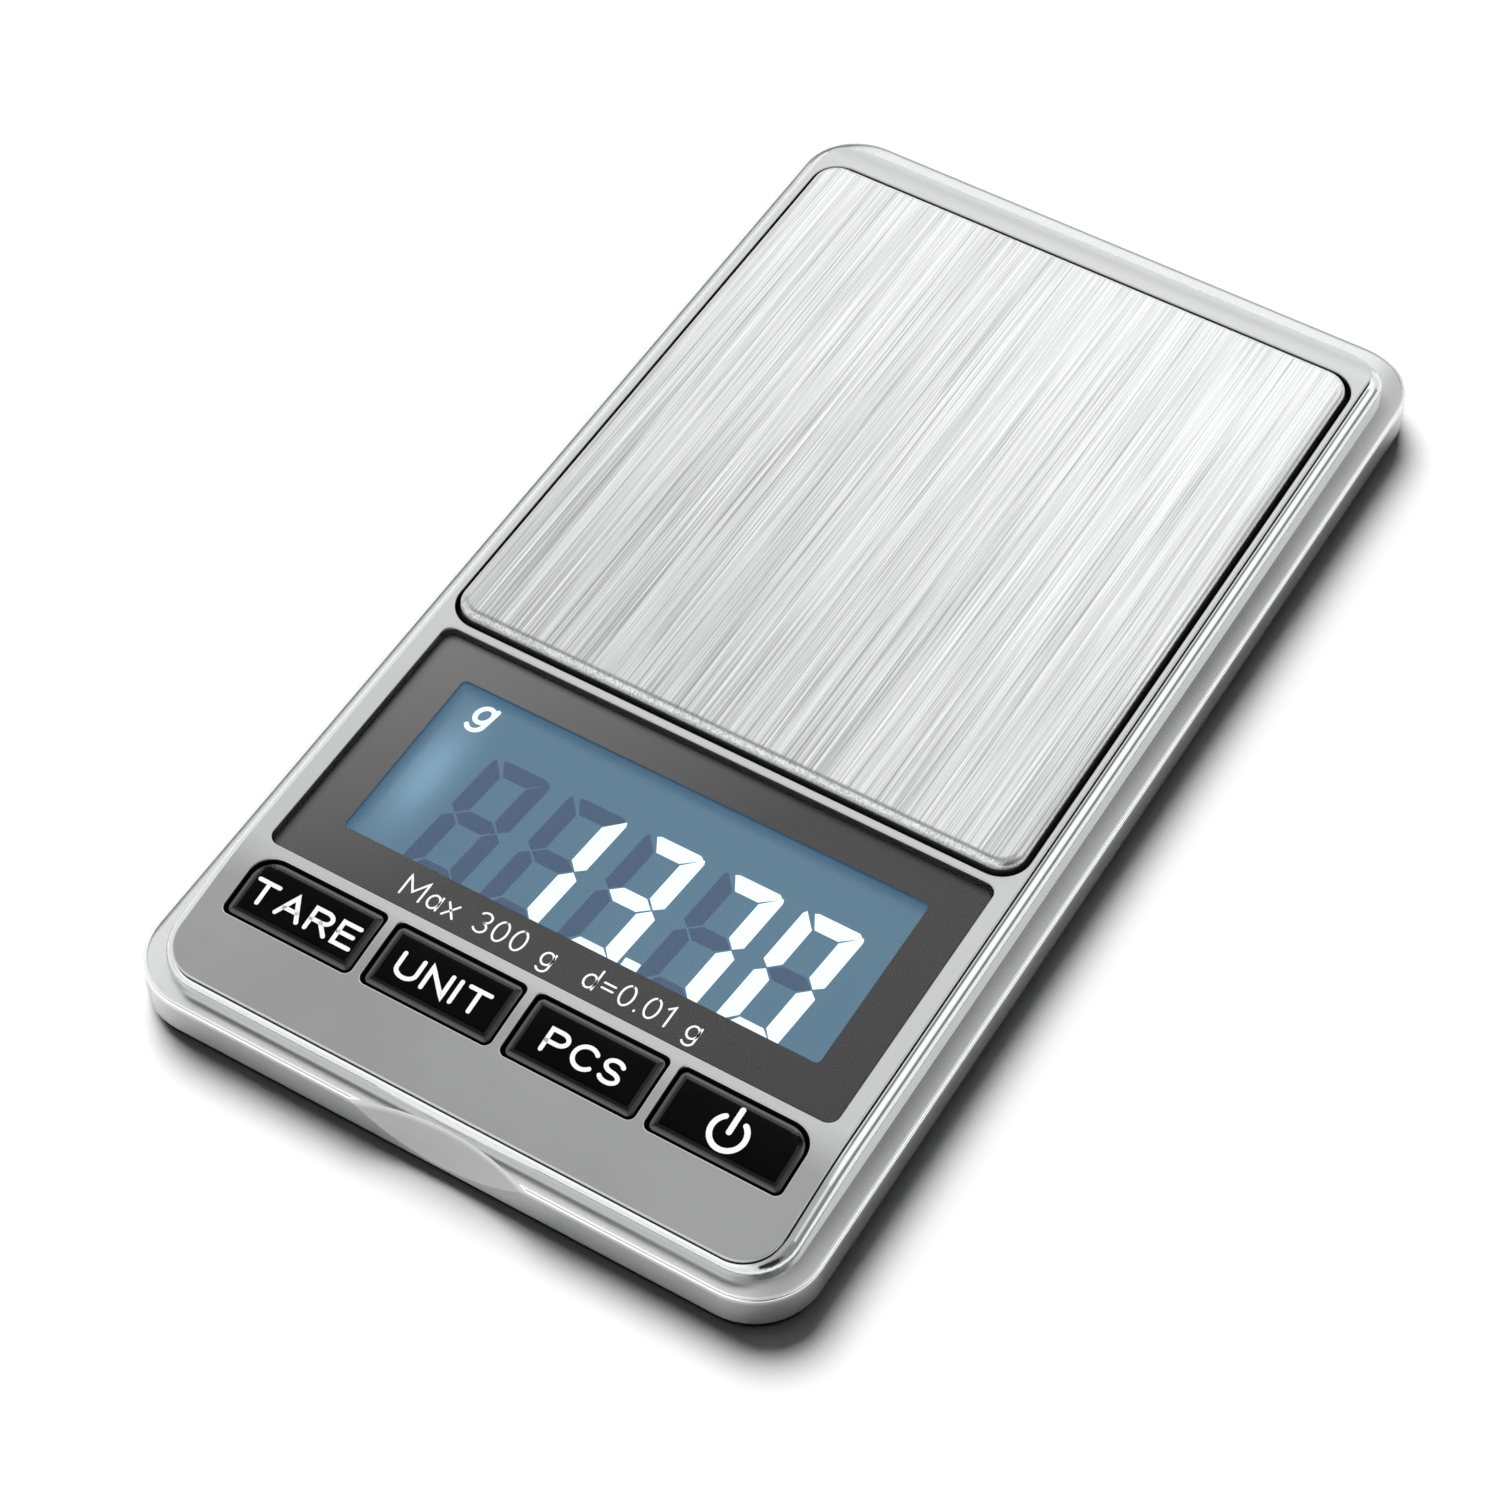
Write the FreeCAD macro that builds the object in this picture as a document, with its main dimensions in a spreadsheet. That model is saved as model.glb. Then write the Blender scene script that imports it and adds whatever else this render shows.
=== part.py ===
import FreeCAD, Part
import Sketcher
import math
import os

# Pocket digital gram scale. Millimetres, +Z up, +Y towards the back, +X to the right.
# The origin is the centre of the footprint on the surface that the feet stand on.

DIMENSIONS = {
    # overall body and casing
    "body_width": 65.0, "body_length": 120.5, "body_corner": 6.2,
    "foot_drop": 0.5, "cover_band": 1.0, "cover_inset": 0.3, "floor_top": 1.8,
    "rest_size": 3.0, "rest_x": 19.5, "rest_front": -48.0, "rest_back": -22.0,
    "rim_height": 5.0, "wall": 1.4, "flange_thickness": 1.1,
    "rim_bead_width": 0.4, "rim_bead_height": 0.2, "rim_fillet": 0.2,
    # raised face: a flat table that bends down at the front and at the back
    "face_height": 8.7, "face_half_width": 29.3, "face_front": -58.2, "face_back": 56.4,
    "face_corner": 3.6, "plate_thickness": 0.25, "plate_edge": 0.12, "lip_height": 0.45, "lip_inset": 0.05,
    "front_bend": -44.3, "front_radius": 30.0, "front_slope": 8.0,
    "back_bend": 52.3, "back_radius": 6.0, "back_slope": 32.0,
    # bezel ring and the housing inside it
    "bezel_half_width": 30.45, "bezel_front": -58.45, "bezel_back": 57.55, "bezel_corner": 4.6,
    "bezel_fillet": 1.1, "housing_half_width": 29.25, "housing_front": -57.2,
    "housing_back": 55.4, "housing_corner": 3.2, "housing_wall": 1.0, "housing_bottom": 3.4,
    "deck_bottom": 6.65, "small_gap": 0.05,
    # weighing platform and its recess
    "opening_half_width": 28.8, "opening_front": -15.75, "opening_back": 52.15,
    "opening_corner": 2.9, "platform_gap": 0.45, "platform_back_gap": 0.75,
    "platform_top": 9.7, "platform_sheet": 0.7,
    "platform_skirt": 7.3, "platform_edge": 0.85, "recess_floor_bottom": 6.2,
    "recess_floor_top": 6.9, "carrier_bottom": 7.4, "carrier_thickness": 1.0,
    "carrier_width": 50.0, "carrier_length": 58.0, "carrier_corner": 3.0,
    "recess_margin": 0.8, "pad_size": 9.0, "pad_pitch_x": 19.0, "pad_pitch_y": 22.0,
    "brace_width": 8.0, "brace_thickness": 1.2, "brace_x": 18.0,
    # display
    "window_half_width": 27.6, "window_front": -44.1, "window_back": -16.65,
    "window_corner": 1.0, "window_gap": 0.1, "window_thickness": 0.8, "window_recess": 0.1,
    "adhesive": 0.1, "lcd_width": 50.0, "lcd_length": 22.0, "lcd_center": -29.9,
    "lcd_thickness": 1.05, "lcd_bottom": 6.6, "ledge_height": 5.4, "lcd_clearance_x": 0.6,
    "lcd_clearance_y": 0.4, "frame_wall": 0.8, "frame_clearance": 0.2, "guide_offset": 1.0,
    "strip_length": 44.0, "strip_thickness": 1.3, "strip_clearance": 0.2,
    "led_width": 3.0, "led_depth": 1.4, "led_height": 0.8, "led_x": 21.0, "led_offset": 8.0,
    # keys
    "key_pitch": 13.8, "key_opening_width": 12.9, "key_opening_length": 6.5,
    "key_center": -48.55, "key_gap": 0.28, "key_corner": 0.7, "key_end_corner": 2.3,
    "key_sink": 0.05, "key_edge": 0.4, "key_flange": 0.5, "key_flange_bottom": 5.9,
    "key_flange_inset": 0.25, "stem_diameter": 3.2, "plunger_diameter": 2.0, "plunger_top": 5.3,
    "plunger_length": 0.8,
    # circuit board
    "board_bottom": 2.9, "board_thickness": 0.8, "board_width": 52.0, "board_front": -52.0,
    "board_back": -17.0, "board_corner": 1.0, "switch_size": 4.6, "switch_height": 1.1,
    "well_clearance": 0.1, "well_floor": 0.3, "pcb_screw_x": 13.8, "pcb_screw_y": -43.35,
    "pcb_shank": 1.3, "pcb_shank_length": 3.0, "pcb_head": 2.4, "pcb_head_height": 0.6,
    "pcb_hole_depth": 2.4, "controller_diameter": 9.0, "controller_height": 1.1,
    "controller_x": -12.0, "controller_y": -31.0, "converter_width": 6.0, "converter_length": 5.0,
    "converter_height": 1.3, "converter_x": 8.0, "converter_y": -27.0, "crystal_width": 5.0,
    "crystal_length": 2.0, "crystal_height": 1.2, "crystal_x": -1.5, "crystal_y": -34.0,
    "capacitor_width": 1.6, "capacitor_height": 0.8, "wire_diameter": 0.5, "wire_pitch": 2.0,
    "solder_inset": 0.9,
    # load cell
    "cell_bottom": 2.1, "cell_height": 3.6, "cell_width": 9.0, "cell_length": 45.0,
    "cell_center": 18.0, "cell_bore": 2.6, "cell_bore_spacing": 7.0, "cell_slot": 1.0,
    "cell_screw": 2.5, "cell_screw_inner": 14.5, "cell_screw_outer": 20.0, "cell_screw_gap": 0.2,
    "cell_thread_gap": 0.05, "cell_end": 17.0, "cell_seat_length": 12.0, "cell_seat_margin": 2.0,
    "cell_window_length": 14.0, "cell_window_margin": 4.0, "cell_head": 4.6, "cell_head_height": 0.7,
    "cell_head_hole": 5.0, "cell_shank_length": 3.6, "stop_diameter": 2.9, "stop_hole": 3.0,
    "stop_height": 1.25, "seal_width": 6.0, "seal_length": 13.0, "seal_height": 0.25,
    "spacer_length": 10.0, "spacer_corner": 0.8, "spacer_shift": 0.25, "carrier_head": 4.4,
    "carrier_head_hole": 4.6, "carrier_head_depth": 0.5, "carrier_head_height": 0.45,
    "carrier_shank_length": 4.9,
    # batteries and their door
    "coin_diameter": 20.0, "coin_height": 3.2, "coin_x": 17.0, "coin_front_y": 8.0,
    "coin_back_y": 29.6, "coin_bottom": 1.5, "tray_bottom": 1.45, "tray_top": 6.1,
    "tray_ceiling": 0.8, "tray_wall": 0.8, "coin_gap": 0.2, "door_thickness": 0.9,
    "door_tongue": 1.1, "door_gap": 0.1, "tongue_thickness": 0.45, "door_ledge": 0.4,
    "grip_width": 0.8, "grip_length": 14.0, "grip_pitch": 1.8, "grip_offset": 5.0, "grip_depth": 0.2,
    "tray_corner": 1.5, "ear_width": 12.0, "ear_reach": 2.0, "ear_height": 0.8,
    "coin_step": 0.3, "coin_cap_inset": 1.3, "leaf_dip": 2.4, "leaf_dip_height": 0.5,
    "leaf_length": 12.0, "leaf_width": 3.0, "leaf_thickness": 0.2, "contact_thickness": 0.18,
    "contact_width": 5.0, "contact_height": 2.4, "contact_rise": 0.3, "contact_gap": 0.1,
    "contact_slot": 0.6, "lead_diameter": 0.6, "lead_x": 9.0, "lead_pitch": 2.0,
    # fasteners and feet
    "screw_x": 25.5, "screw_front": -54.8, "screw_middle": -9.5, "screw_back": 53.0,
    "post_diameter": 4.6, "screw_shank": 1.9, "screw_clearance": 2.2, "screw_head": 3.8,
    "head_height": 0.7, "head_recess": 0.8, "head_clearance": 0.4, "screw_bite": 0.04,
    "screw_hole_depth": 3.9, "screw_length": 4.2, "foot_diameter": 8.0, "foot_clearance": 0.2,
    "foot_x": 23.5, "foot_front": -46.2, "foot_back": 46.2, "foot_socket": 0.3,
    # finger notch in the front of the rim: a spherical scoop
    "notch_radius": 24.8, "notch_y": -80.75, "notch_height": 15.8,
    "notch_backing": 22.0, "notch_backing_depth": 2.0, "notch_backing_drop": 0.6,
    "notch_backing_overlap": 0.3, "small_corner": 0.2, "fit_corner": 0.4,
}

document = FreeCAD.newDocument("gram_scale")
sheet = document.addObject("Spreadsheet::Sheet", "Dims")
for row, (alias, value) in enumerate(DIMENSIONS.items(), start=1):
    sheet.set(f"A{row}", alias)
    sheet.set(f"B{row}", str(value))
    sheet.setAlias(f"B{row}", alias)
document.recompute()


class Size:
    """A length that carries its number and the sheet formula that gives it."""

    def __init__(self, number, formula=None):
        self.number = float(number)
        self.formula = formula if formula is not None else repr(float(number))

    def joined(self, other, sign, number, swapped=False):
        other = size(other)
        first, second = (other, self) if swapped else (self, other)
        return Size(number(first.number, second.number), f"({first.formula} {sign} {second.formula})")

    def __add__(self, other):
        return self.joined(other, "+", lambda a, b: a + b)

    def __radd__(self, other):
        return self.joined(other, "+", lambda a, b: a + b, swapped=True)

    def __sub__(self, other):
        return self.joined(other, "-", lambda a, b: a - b)

    def __rsub__(self, other):
        return self.joined(other, "-", lambda a, b: a - b, swapped=True)

    def __mul__(self, other):
        return self.joined(other, "*", lambda a, b: a * b)

    def __rmul__(self, other):
        return self.joined(other, "*", lambda a, b: a * b, swapped=True)

    def __truediv__(self, other):
        return self.joined(other, "/", lambda a, b: a / b)

    def __neg__(self):
        return Size(0.0) - self


def size(value):
    """Return the value as a Size."""
    return value if isinstance(value, Size) else Size(value)


class Dimensions:
    """Gives each sheet cell as a Size, under its alias."""

    def __getattr__(self, alias):
        return Size(DIMENSIONS[alias], f"Dims.{alias}")


d = Dimensions()
TOP = 12.0          # a height above everything, where cutting tools end
STOCK_TOP = 10.0    # a height above every piece, for material that is cut down to the crown
BELOW = -2.0        # a height below everything
OVERRUN = 2.0       # how far a cutting tool reaches past what it cuts
LEFT_RIGHT = (-1, 1)


# ---------------------------------------------------------------- helpers

def bind(thing, path, value):
    """Bind one property of an object to the sheet."""
    thing.setExpression(path, size(value).formula)


def place(thing, x=0, y=0, z=0):
    """Bind an object's place to the sheet."""
    for axis, value in zip("xyz", (x, y, z)):
        bind(thing, f"Placement.Base.{axis}", value)


def new_body(name):
    """Start a PartDesign body whose Label is the node's name."""
    body = document.addObject("PartDesign::Body", name)
    body.Label = name
    return body


def new_sketch(body, role, x=0, y=0, z=0):
    """Attach a sketch to one of the body's own origin planes, shifted by x, y, z."""
    sketch = body.newObject("Sketcher::SketchObject", f"{body.Name}_sketch")
    plane = [feature for feature in body.Origin.OriginFeatures if feature.Role == role][0]
    sketch.AttachmentSupport = (plane, [""])
    sketch.MapMode = "FlatFace"
    for axis, value in zip("xyz", (x, y, z)):
        bind(sketch, f"AttachmentOffset.Base.{axis}", value)
    return sketch


def constrain(sketch, kind, *places, value=None):
    """Add a constraint, with its value bound to the sheet if it has one."""
    if value is None:
        return sketch.addConstraint(Sketcher.Constraint(kind, *places))
    value = size(value)
    index = sketch.addConstraint(Sketcher.Constraint(kind, *places, value.number))
    sketch.setExpression(f"Constraints[{index}]", value.formula)
    return index


def rounded_rectangle(body, width, length, radius, x=0, y=0, z=0, back_right=None, back_left=None):
    """Sketch a rectangle with round corners, centred on x, y at height z.

    The back corners can have radii of their own.
    """
    sketch = new_sketch(body, "XY_Plane", x, y, z)
    half_width, half_length = size(width) / 2, size(length) / 2
    radii = [size(own) if own is not None else size(radius) for own in (back_right, back_left, None, None)]
    signs = [(1, 1), (-1, 1), (-1, -1), (1, -1)]
    normal = FreeCAD.Vector(0, 0, 1)
    arcs = []
    for quarter, ((sign_x, sign_y), corner) in enumerate(zip(signs, radii)):
        centre = FreeCAD.Vector(sign_x * (half_width.number - corner.number),
                                sign_y * (half_length.number - corner.number), 0)
        circle = Part.Circle(centre, normal, corner.number)
        start = quarter * math.pi / 2
        arc = sketch.addGeometry(Part.ArcOfCircle(circle, start, start + math.pi / 2))
        constrain(sketch, "Radius", arc, value=corner)
        arcs.append(arc)
    sides = (("Horizontal", "DistanceY", half_length), ("Vertical", "DistanceX", -half_width),
             ("Horizontal", "DistanceY", -half_length), ("Vertical", "DistanceX", half_width))
    for index, (direction, distance, offset) in enumerate(sides):
        following = arcs[(index + 1) % 4]
        line = sketch.addGeometry(Part.LineSegment(sketch.getPoint(arcs[index], 2),
                                                   sketch.getPoint(following, 1)))
        constrain(sketch, "Tangent", arcs[index], 2, line, 1)
        constrain(sketch, "Tangent", line, 2, following, 1)
        constrain(sketch, direction, line)
        constrain(sketch, distance, -1, 1, line, 1, value=offset)
    return sketch


def between(body, half_width, front, back, radius, z=0):
    """Sketch a rounded rectangle from its half width and its front and back edges."""
    return rounded_rectangle(body, 2 * half_width, back - front, radius, y=(front + back) / 2, z=z)


def circles(body, diameter, centres, z=0):
    """Sketch equal circles at the given centres."""
    sketch = new_sketch(body, "XY_Plane", z=z)
    first = None
    for x, y in centres:
        x, y = size(x), size(y)
        middle = FreeCAD.Vector(x.number, y.number, 0)
        normal = FreeCAD.Vector(0, 0, 1)
        circle = sketch.addGeometry(Part.Circle(middle, normal, size(diameter).number / 2))
        if first is None:
            first = circle
            constrain(sketch, "Diameter", circle, value=diameter)
        else:
            constrain(sketch, "Equal", first, circle)
        constrain(sketch, "DistanceX", -1, 1, circle, 3, value=x)
        constrain(sketch, "DistanceY", -1, 1, circle, 3, value=y)
    return sketch


def pad(body, sketch, length):
    """Add the sketch's area, upwards."""
    feature = body.newObject("PartDesign::Pad", f"{body.Name}_pad")
    feature.Profile = sketch
    bind(feature, "Length", length)
    return feature


def pocket(body, sketch, depth, upwards=True, midplane=False):
    """Remove the sketch's area, upwards from the sketch, and check that it cut something."""
    document.recompute()
    before = body.Shape.Volume
    feature = body.newObject("PartDesign::Pocket", f"{body.Name}_pocket")
    feature.Profile = sketch
    feature.Reversed = upwards
    if midplane:
        feature.SideType = "Symmetric"
    bind(feature, "Length", depth)
    document.recompute()
    if not body.Shape.Volume < before - 1e-4:
        raise RuntimeError(f"{feature.Name} of {body.Label} cuts nothing")
    return feature


def box_pocket(body, width, length, radius, x, y, bottom, top):
    """Remove a rounded prism between two heights."""
    sketch = rounded_rectangle(body, width, length, radius, x=x, y=y, z=bottom)
    return pocket(body, sketch, top - bottom)


def box_pad(body, width, length, radius, x, y, bottom, top):
    """Add a rounded prism between two heights."""
    return pad(body, rounded_rectangle(body, width, length, radius, x=x, y=y, z=bottom), top - bottom)


def round_pad(body, diameter, centres, bottom, top):
    """Add equal upright cylinders between two heights."""
    return pad(body, circles(body, diameter, centres, z=bottom), top - bottom)


def round_pocket(body, diameter, centres, bottom, top):
    """Remove equal upright cylinders between two heights."""
    return pocket(body, circles(body, diameter, centres, z=bottom), top - bottom)


def fillet(body, radius, wanted):
    """Round the edges that wanted(edge) picks from the body's last feature."""
    document.recompute()
    base = body.Tip
    names = [f"Edge{n}" for n, edge in enumerate(base.Shape.Edges, start=1) if wanted(edge)]
    if not names:
        raise RuntimeError(f"no edge to round on {body.Label}")
    feature = body.newObject("PartDesign::Fillet", f"{body.Name}_fillet")
    feature.Base = (base, names)
    bind(feature, "Radius", radius)
    body.Tip = feature
    document.recompute()
    return feature


def crown_cut(body, drop, above):
    """Cut along the crown of the face, lowered by drop: what is above it, or what is below."""
    sketch = new_sketch(body, "YZ_Plane")
    height = d.face_height - drop
    end = d.body_length / 2 + OVERRUN
    far = size(TOP if above else BELOW)
    bends = ((d.front_bend, d.front_radius, d.front_slope, -1),
             (d.back_bend, d.back_radius, d.back_slope, 1))
    flat = sketch.addGeometry(Part.LineSegment(
        FreeCAD.Vector(d.front_bend.number, height.number, 0),
        FreeCAD.Vector(d.back_bend.number, height.number, 0)))
    constrain(sketch, "Horizontal", flat)
    constrain(sketch, "DistanceY", -1, 1, flat, 1, value=height)
    outer = []
    for number, (bend, radius, slope, side) in enumerate(bends, start=1):
        turn = math.radians(slope.number)
        centre = FreeCAD.Vector(bend.number, height.number - radius.number, 0)
        circle = Part.Circle(centre, FreeCAD.Vector(0, 0, 1), radius.number)
        up = math.pi / 2
        start, stop = (up, up + turn) if side < 0 else (up - turn, up)
        arc = sketch.addGeometry(Part.ArcOfCircle(circle, start, stop))
        at_flat, at_slope = (1, 2) if side < 0 else (2, 1)
        joint = sketch.getPoint(arc, at_slope)
        reach = end.number - abs(joint.x)
        tip = FreeCAD.Vector(side * end.number, joint.y - reach * math.tan(turn), 0)
        line = sketch.addGeometry(Part.LineSegment(joint, tip))
        constrain(sketch, "Tangent", arc, at_flat, flat, number)
        constrain(sketch, "Tangent", arc, at_slope, line, 1)
        constrain(sketch, "DistanceX", -1, 1, flat, number, value=bend)
        constrain(sketch, "Radius", arc, value=radius)
        constrain(sketch, "DistanceX", -1, 1, line, 2, value=side * end)
        fall = radius * (1 - Size(math.cos(turn), f"cos({slope.formula} * 1 deg)"))
        run = end - side * bend - radius * Size(math.sin(turn), f"sin({slope.formula} * 1 deg)")
        tip_height = height - fall - run * Size(math.tan(turn), f"tan({slope.formula} * 1 deg)")
        constrain(sketch, "DistanceY", -1, 1, line, 2, value=tip_height)
        wall = sketch.addGeometry(Part.LineSegment(tip, FreeCAD.Vector(tip.x, far.number, 0)))
        constrain(sketch, "Coincident", line, 2, wall, 1)
        constrain(sketch, "Vertical", wall)
        outer.append(wall)
    lid = sketch.addGeometry(Part.LineSegment(sketch.getPoint(outer[0], 2), sketch.getPoint(outer[1], 2)))
    constrain(sketch, "Coincident", outer[0], 2, lid, 1)
    constrain(sketch, "Coincident", outer[1], 2, lid, 2)
    constrain(sketch, "Horizontal", lid)
    constrain(sketch, "DistanceY", -1, 1, lid, 1, value=far)
    return pocket(body, sketch, d.body_width + 2 * OVERRUN, midplane=True)


def crown_level(y):
    """Height of the crown at y, and False where y is on a seam between its surfaces."""
    level = DIMENSIONS["face_height"]
    clear_of_seams = True
    for side, end in ((-1, "front"), (1, "back")):
        bend, radius = DIMENSIONS[f"{end}_bend"], DIMENSIONS[f"{end}_radius"]
        slope = math.radians(DIMENSIONS[f"{end}_slope"])
        arc_run = radius * math.sin(slope)
        past = side * (y - bend)
        if min(abs(past), abs(past - arc_run)) < 1e-3:
            clear_of_seams = False
        if past > arc_run:
            level -= radius * (1 - math.cos(slope)) + (past - arc_run) * math.tan(slope)
        elif past > 0:
            level -= radius - math.sqrt(radius * radius - past * past)
    return level, clear_of_seams


def crown_edge(drop):
    """A test for edges that lie on the crown lowered by drop, other than its own seams."""

    def test(edge):
        start, stop = edge.FirstParameter, edge.LastParameter
        for share in (0.1, 0.5, 0.9):
            point = edge.valueAt(start + (stop - start) * share)
            level, clear_of_seams = crown_level(point.y)
            if abs(point.z - level + drop.number) > 5e-3 or not clear_of_seams:
                return False
        return True

    return test


def box(name, width, length, height, x, y, z):
    """A Part box centred on x, y and standing at z."""
    thing = document.addObject("Part::Box", name)
    thing.Label = name
    for path, value in (("Length", width), ("Width", length), ("Height", height)):
        bind(thing, path, value)
    place(thing, size(x) - size(width) / 2, size(y) - size(length) / 2, z)
    return thing


def cylinder(name, diameter, height, x, y, z):
    """A Part cylinder standing at z."""
    thing = document.addObject("Part::Cylinder", name)
    thing.Label = name
    bind(thing, "Radius", size(diameter) / 2)
    bind(thing, "Height", height)
    place(thing, x, y, z)
    return thing


def lying_cylinder(name, diameter, length, x, y, z, rotation):
    """A Part cylinder turned from +Z, starting at x, y, z."""
    thing = cylinder(name, diameter, length, x, y, z)
    thing.Placement.Rotation = rotation
    return thing


def joined(name, *pieces):
    """One solid from pieces that touch or overlap."""
    thing = document.addObject("Part::MultiFuse", name)
    thing.Shapes = list(pieces)
    thing.Refine = True
    thing.Label = name
    return thing


def cut(name, base, tool):
    """The base with the tool taken away."""
    thing = document.addObject("Part::Cut", name)
    thing.Base = base
    thing.Tool = tool
    thing.Label = name
    return thing


def group(name, pieces):
    """Separate equal pieces in one node."""
    thing = document.addObject("Part::Compound", name)
    thing.Links = list(pieces)
    thing.Label = name
    return thing


ALONG_Y = FreeCAD.Rotation(FreeCAD.Vector(1, 0, 0), -90)
ALONG_X = FreeCAD.Rotation(FreeCAD.Vector(0, 1, 0), 90)

cover_bottom = d.foot_drop
wall_bottom = d.foot_drop + d.cover_band
flange_top = d.rim_height - d.rim_bead_height
board_top = d.board_bottom + d.board_thickness
bezel_drop = d.plate_thickness + d.lip_height
housing_screw_places = [(side * d.screw_x, y) for y in (d.screw_front, d.screw_middle, d.screw_back)
                        for side in LEFT_RIGHT]
foot_places = [(side * d.foot_x, y) for y in (d.foot_front, d.foot_back) for side in LEFT_RIGHT]
fixed_screw_places = [(0, d.cell_center + d.cell_screw_inner), (0, d.cell_center + d.cell_screw_outer)]
live_screw_places = [(0, d.cell_center - d.cell_screw_inner), (0, d.cell_center - d.cell_screw_outer)]
coin_places = [(d.coin_x, d.coin_front_y), (d.coin_x, d.coin_back_y)]
coin_middle = (d.coin_front_y + d.coin_back_y) / 2
solder_line = d.board_back - d.solder_inset
tray_margin = d.coin_gap + d.tray_wall
tray_width = d.coin_diameter + 2 * tray_margin
tray_length = d.coin_back_y - d.coin_front_y + d.coin_diameter + 2 * tray_margin
window_length = d.window_back - d.window_front
window_middle = (d.window_back + d.window_front) / 2
platform_front = d.opening_front + d.platform_gap
platform_back = d.opening_back - d.platform_back_gap
platform_middle = (platform_back + platform_front) / 2
platform_width = 2 * (d.opening_half_width - d.platform_gap)
platform_length = platform_back - platform_front
KEYS = ("tare", "unit", "pcs", "power")
key_columns = {name: (column - 1.5) * d.key_pitch for column, name in enumerate(KEYS)}
pcb_screw_places = [(side * d.pcb_screw_x, d.pcb_screw_y) for side in LEFT_RIGHT]


# ---------------------------------------------------------------- housing

def make_bottom_cover():
    """Black cover under the casing, with the load cell's seat and the battery doorway."""
    body = new_body("bottom_cover")
    width = d.body_width - 2 * d.cover_inset
    length = d.body_length - 2 * d.cover_inset
    corner = d.body_corner - d.cover_inset
    box_pad(body, width, length, corner, 0, 0, cover_bottom, wall_bottom)
    lip_shrink = 2 * (d.wall + d.small_gap)
    box_pad(body, d.body_width - lip_shrink, d.body_length - lip_shrink, d.body_corner - d.wall,
            0, 0, wall_bottom, d.floor_top)
    box_pad(body, d.cell_width + d.cell_seat_margin, d.cell_seat_length, d.spacer_corner, 0,
            d.cell_center + d.cell_end, d.floor_top, d.cell_bottom)
    for side in LEFT_RIGHT:
        for y in (d.rest_back, d.rest_front):
            box_pad(body, d.rest_size, d.rest_size, d.small_corner, side * d.rest_x, y, d.floor_top,
                    d.board_bottom)
    doorway_end = d.body_width / 2 + 2 * OVERRUN
    doorway_start = d.coin_x - tray_width / 2 - d.small_gap
    doorway_width = doorway_end - doorway_start
    ledge_top = cover_bottom + d.door_ledge
    box_pocket(body, doorway_width, tray_length + 2 * d.small_gap, d.small_corner,
               (doorway_end + doorway_start) / 2, coin_middle, ledge_top, d.floor_top)
    lower_start = doorway_start + d.door_tongue
    box_pocket(body, doorway_end - lower_start, tray_length - 2 * d.door_tongue, d.small_corner,
               (doorway_end + lower_start) / 2, coin_middle, cover_bottom, ledge_top)
    round_pocket(body, d.screw_clearance, housing_screw_places, cover_bottom, d.floor_top)
    head_top = cover_bottom + d.head_recess
    round_pocket(body, d.screw_head + d.head_clearance, housing_screw_places, cover_bottom, head_top)
    round_pocket(body, d.foot_diameter + d.foot_clearance, foot_places, cover_bottom,
                 cover_bottom + d.foot_socket)
    round_pocket(body, d.cell_screw + d.cell_screw_gap, fixed_screw_places, cover_bottom, d.cell_bottom)
    round_pocket(body, d.cell_head_hole, fixed_screw_places, cover_bottom, head_top)
    round_pocket(body, d.stop_hole, [(0, d.cell_center - d.cell_end)], cover_bottom, d.floor_top)
    return body


def make_lower_casing():
    """Silver rim: an upright wall with a flange at its top and a finger notch at the front."""
    body = new_body("lower_casing_blank")
    box_pad(body, d.body_width, d.body_length, d.body_corner, 0, 0, wall_bottom, d.rim_height)
    box_pocket(body, d.body_width - 2 * d.wall, d.body_length - 2 * d.wall, d.body_corner - d.wall,
               0, 0, wall_bottom, flange_top - d.flange_thickness)
    front_inside = d.wall - d.body_length / 2
    box_pad(body, d.notch_backing, d.notch_backing_depth, d.small_corner, 0,
            front_inside + d.notch_backing_depth / 2 - d.notch_backing_overlap, d.floor_top + d.small_gap,
            d.rim_height - d.notch_backing_drop)
    clearance = 2 * d.small_gap
    sketch = between(body, d.housing_half_width + clearance, d.housing_front - clearance,
                     d.housing_back + clearance, d.housing_corner + clearance, z=wall_bottom)
    pocket(body, sketch, d.rim_height)
    bead = 2 * d.rim_bead_width
    box_pocket(body, d.body_width - bead, d.body_length - bead, d.body_corner - d.rim_bead_width,
               0, 0, flange_top, d.rim_height + OVERRUN)

    def outer_top(edge):
        extent = edge.BoundBox
        at_top = abs(extent.ZMin - DIMENSIONS["rim_height"]) < 1e-4 and extent.ZLength < 1e-4
        middle = edge.valueAt((edge.FirstParameter + edge.LastParameter) / 2)
        return at_top and on_outline(middle)

    def on_outline(point):
        corner = DIMENSIONS["body_corner"]
        over_x = abs(point.x) - (DIMENSIONS["body_width"] / 2 - corner)
        over_y = abs(point.y) - (DIMENSIONS["body_length"] / 2 - corner)
        reach = math.hypot(over_x, over_y) if over_x > 0 and over_y > 0 else max(over_x, over_y)
        return abs(reach - corner) < 0.02

    fillet(body, d.rim_fillet, outer_top)
    scoop = document.addObject("Part::Sphere", "finger_scoop")
    bind(scoop, "Radius", d.notch_radius)
    place(scoop, 0, d.notch_y, d.notch_height)
    return cut("lower_casing", body, scoop)


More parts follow.
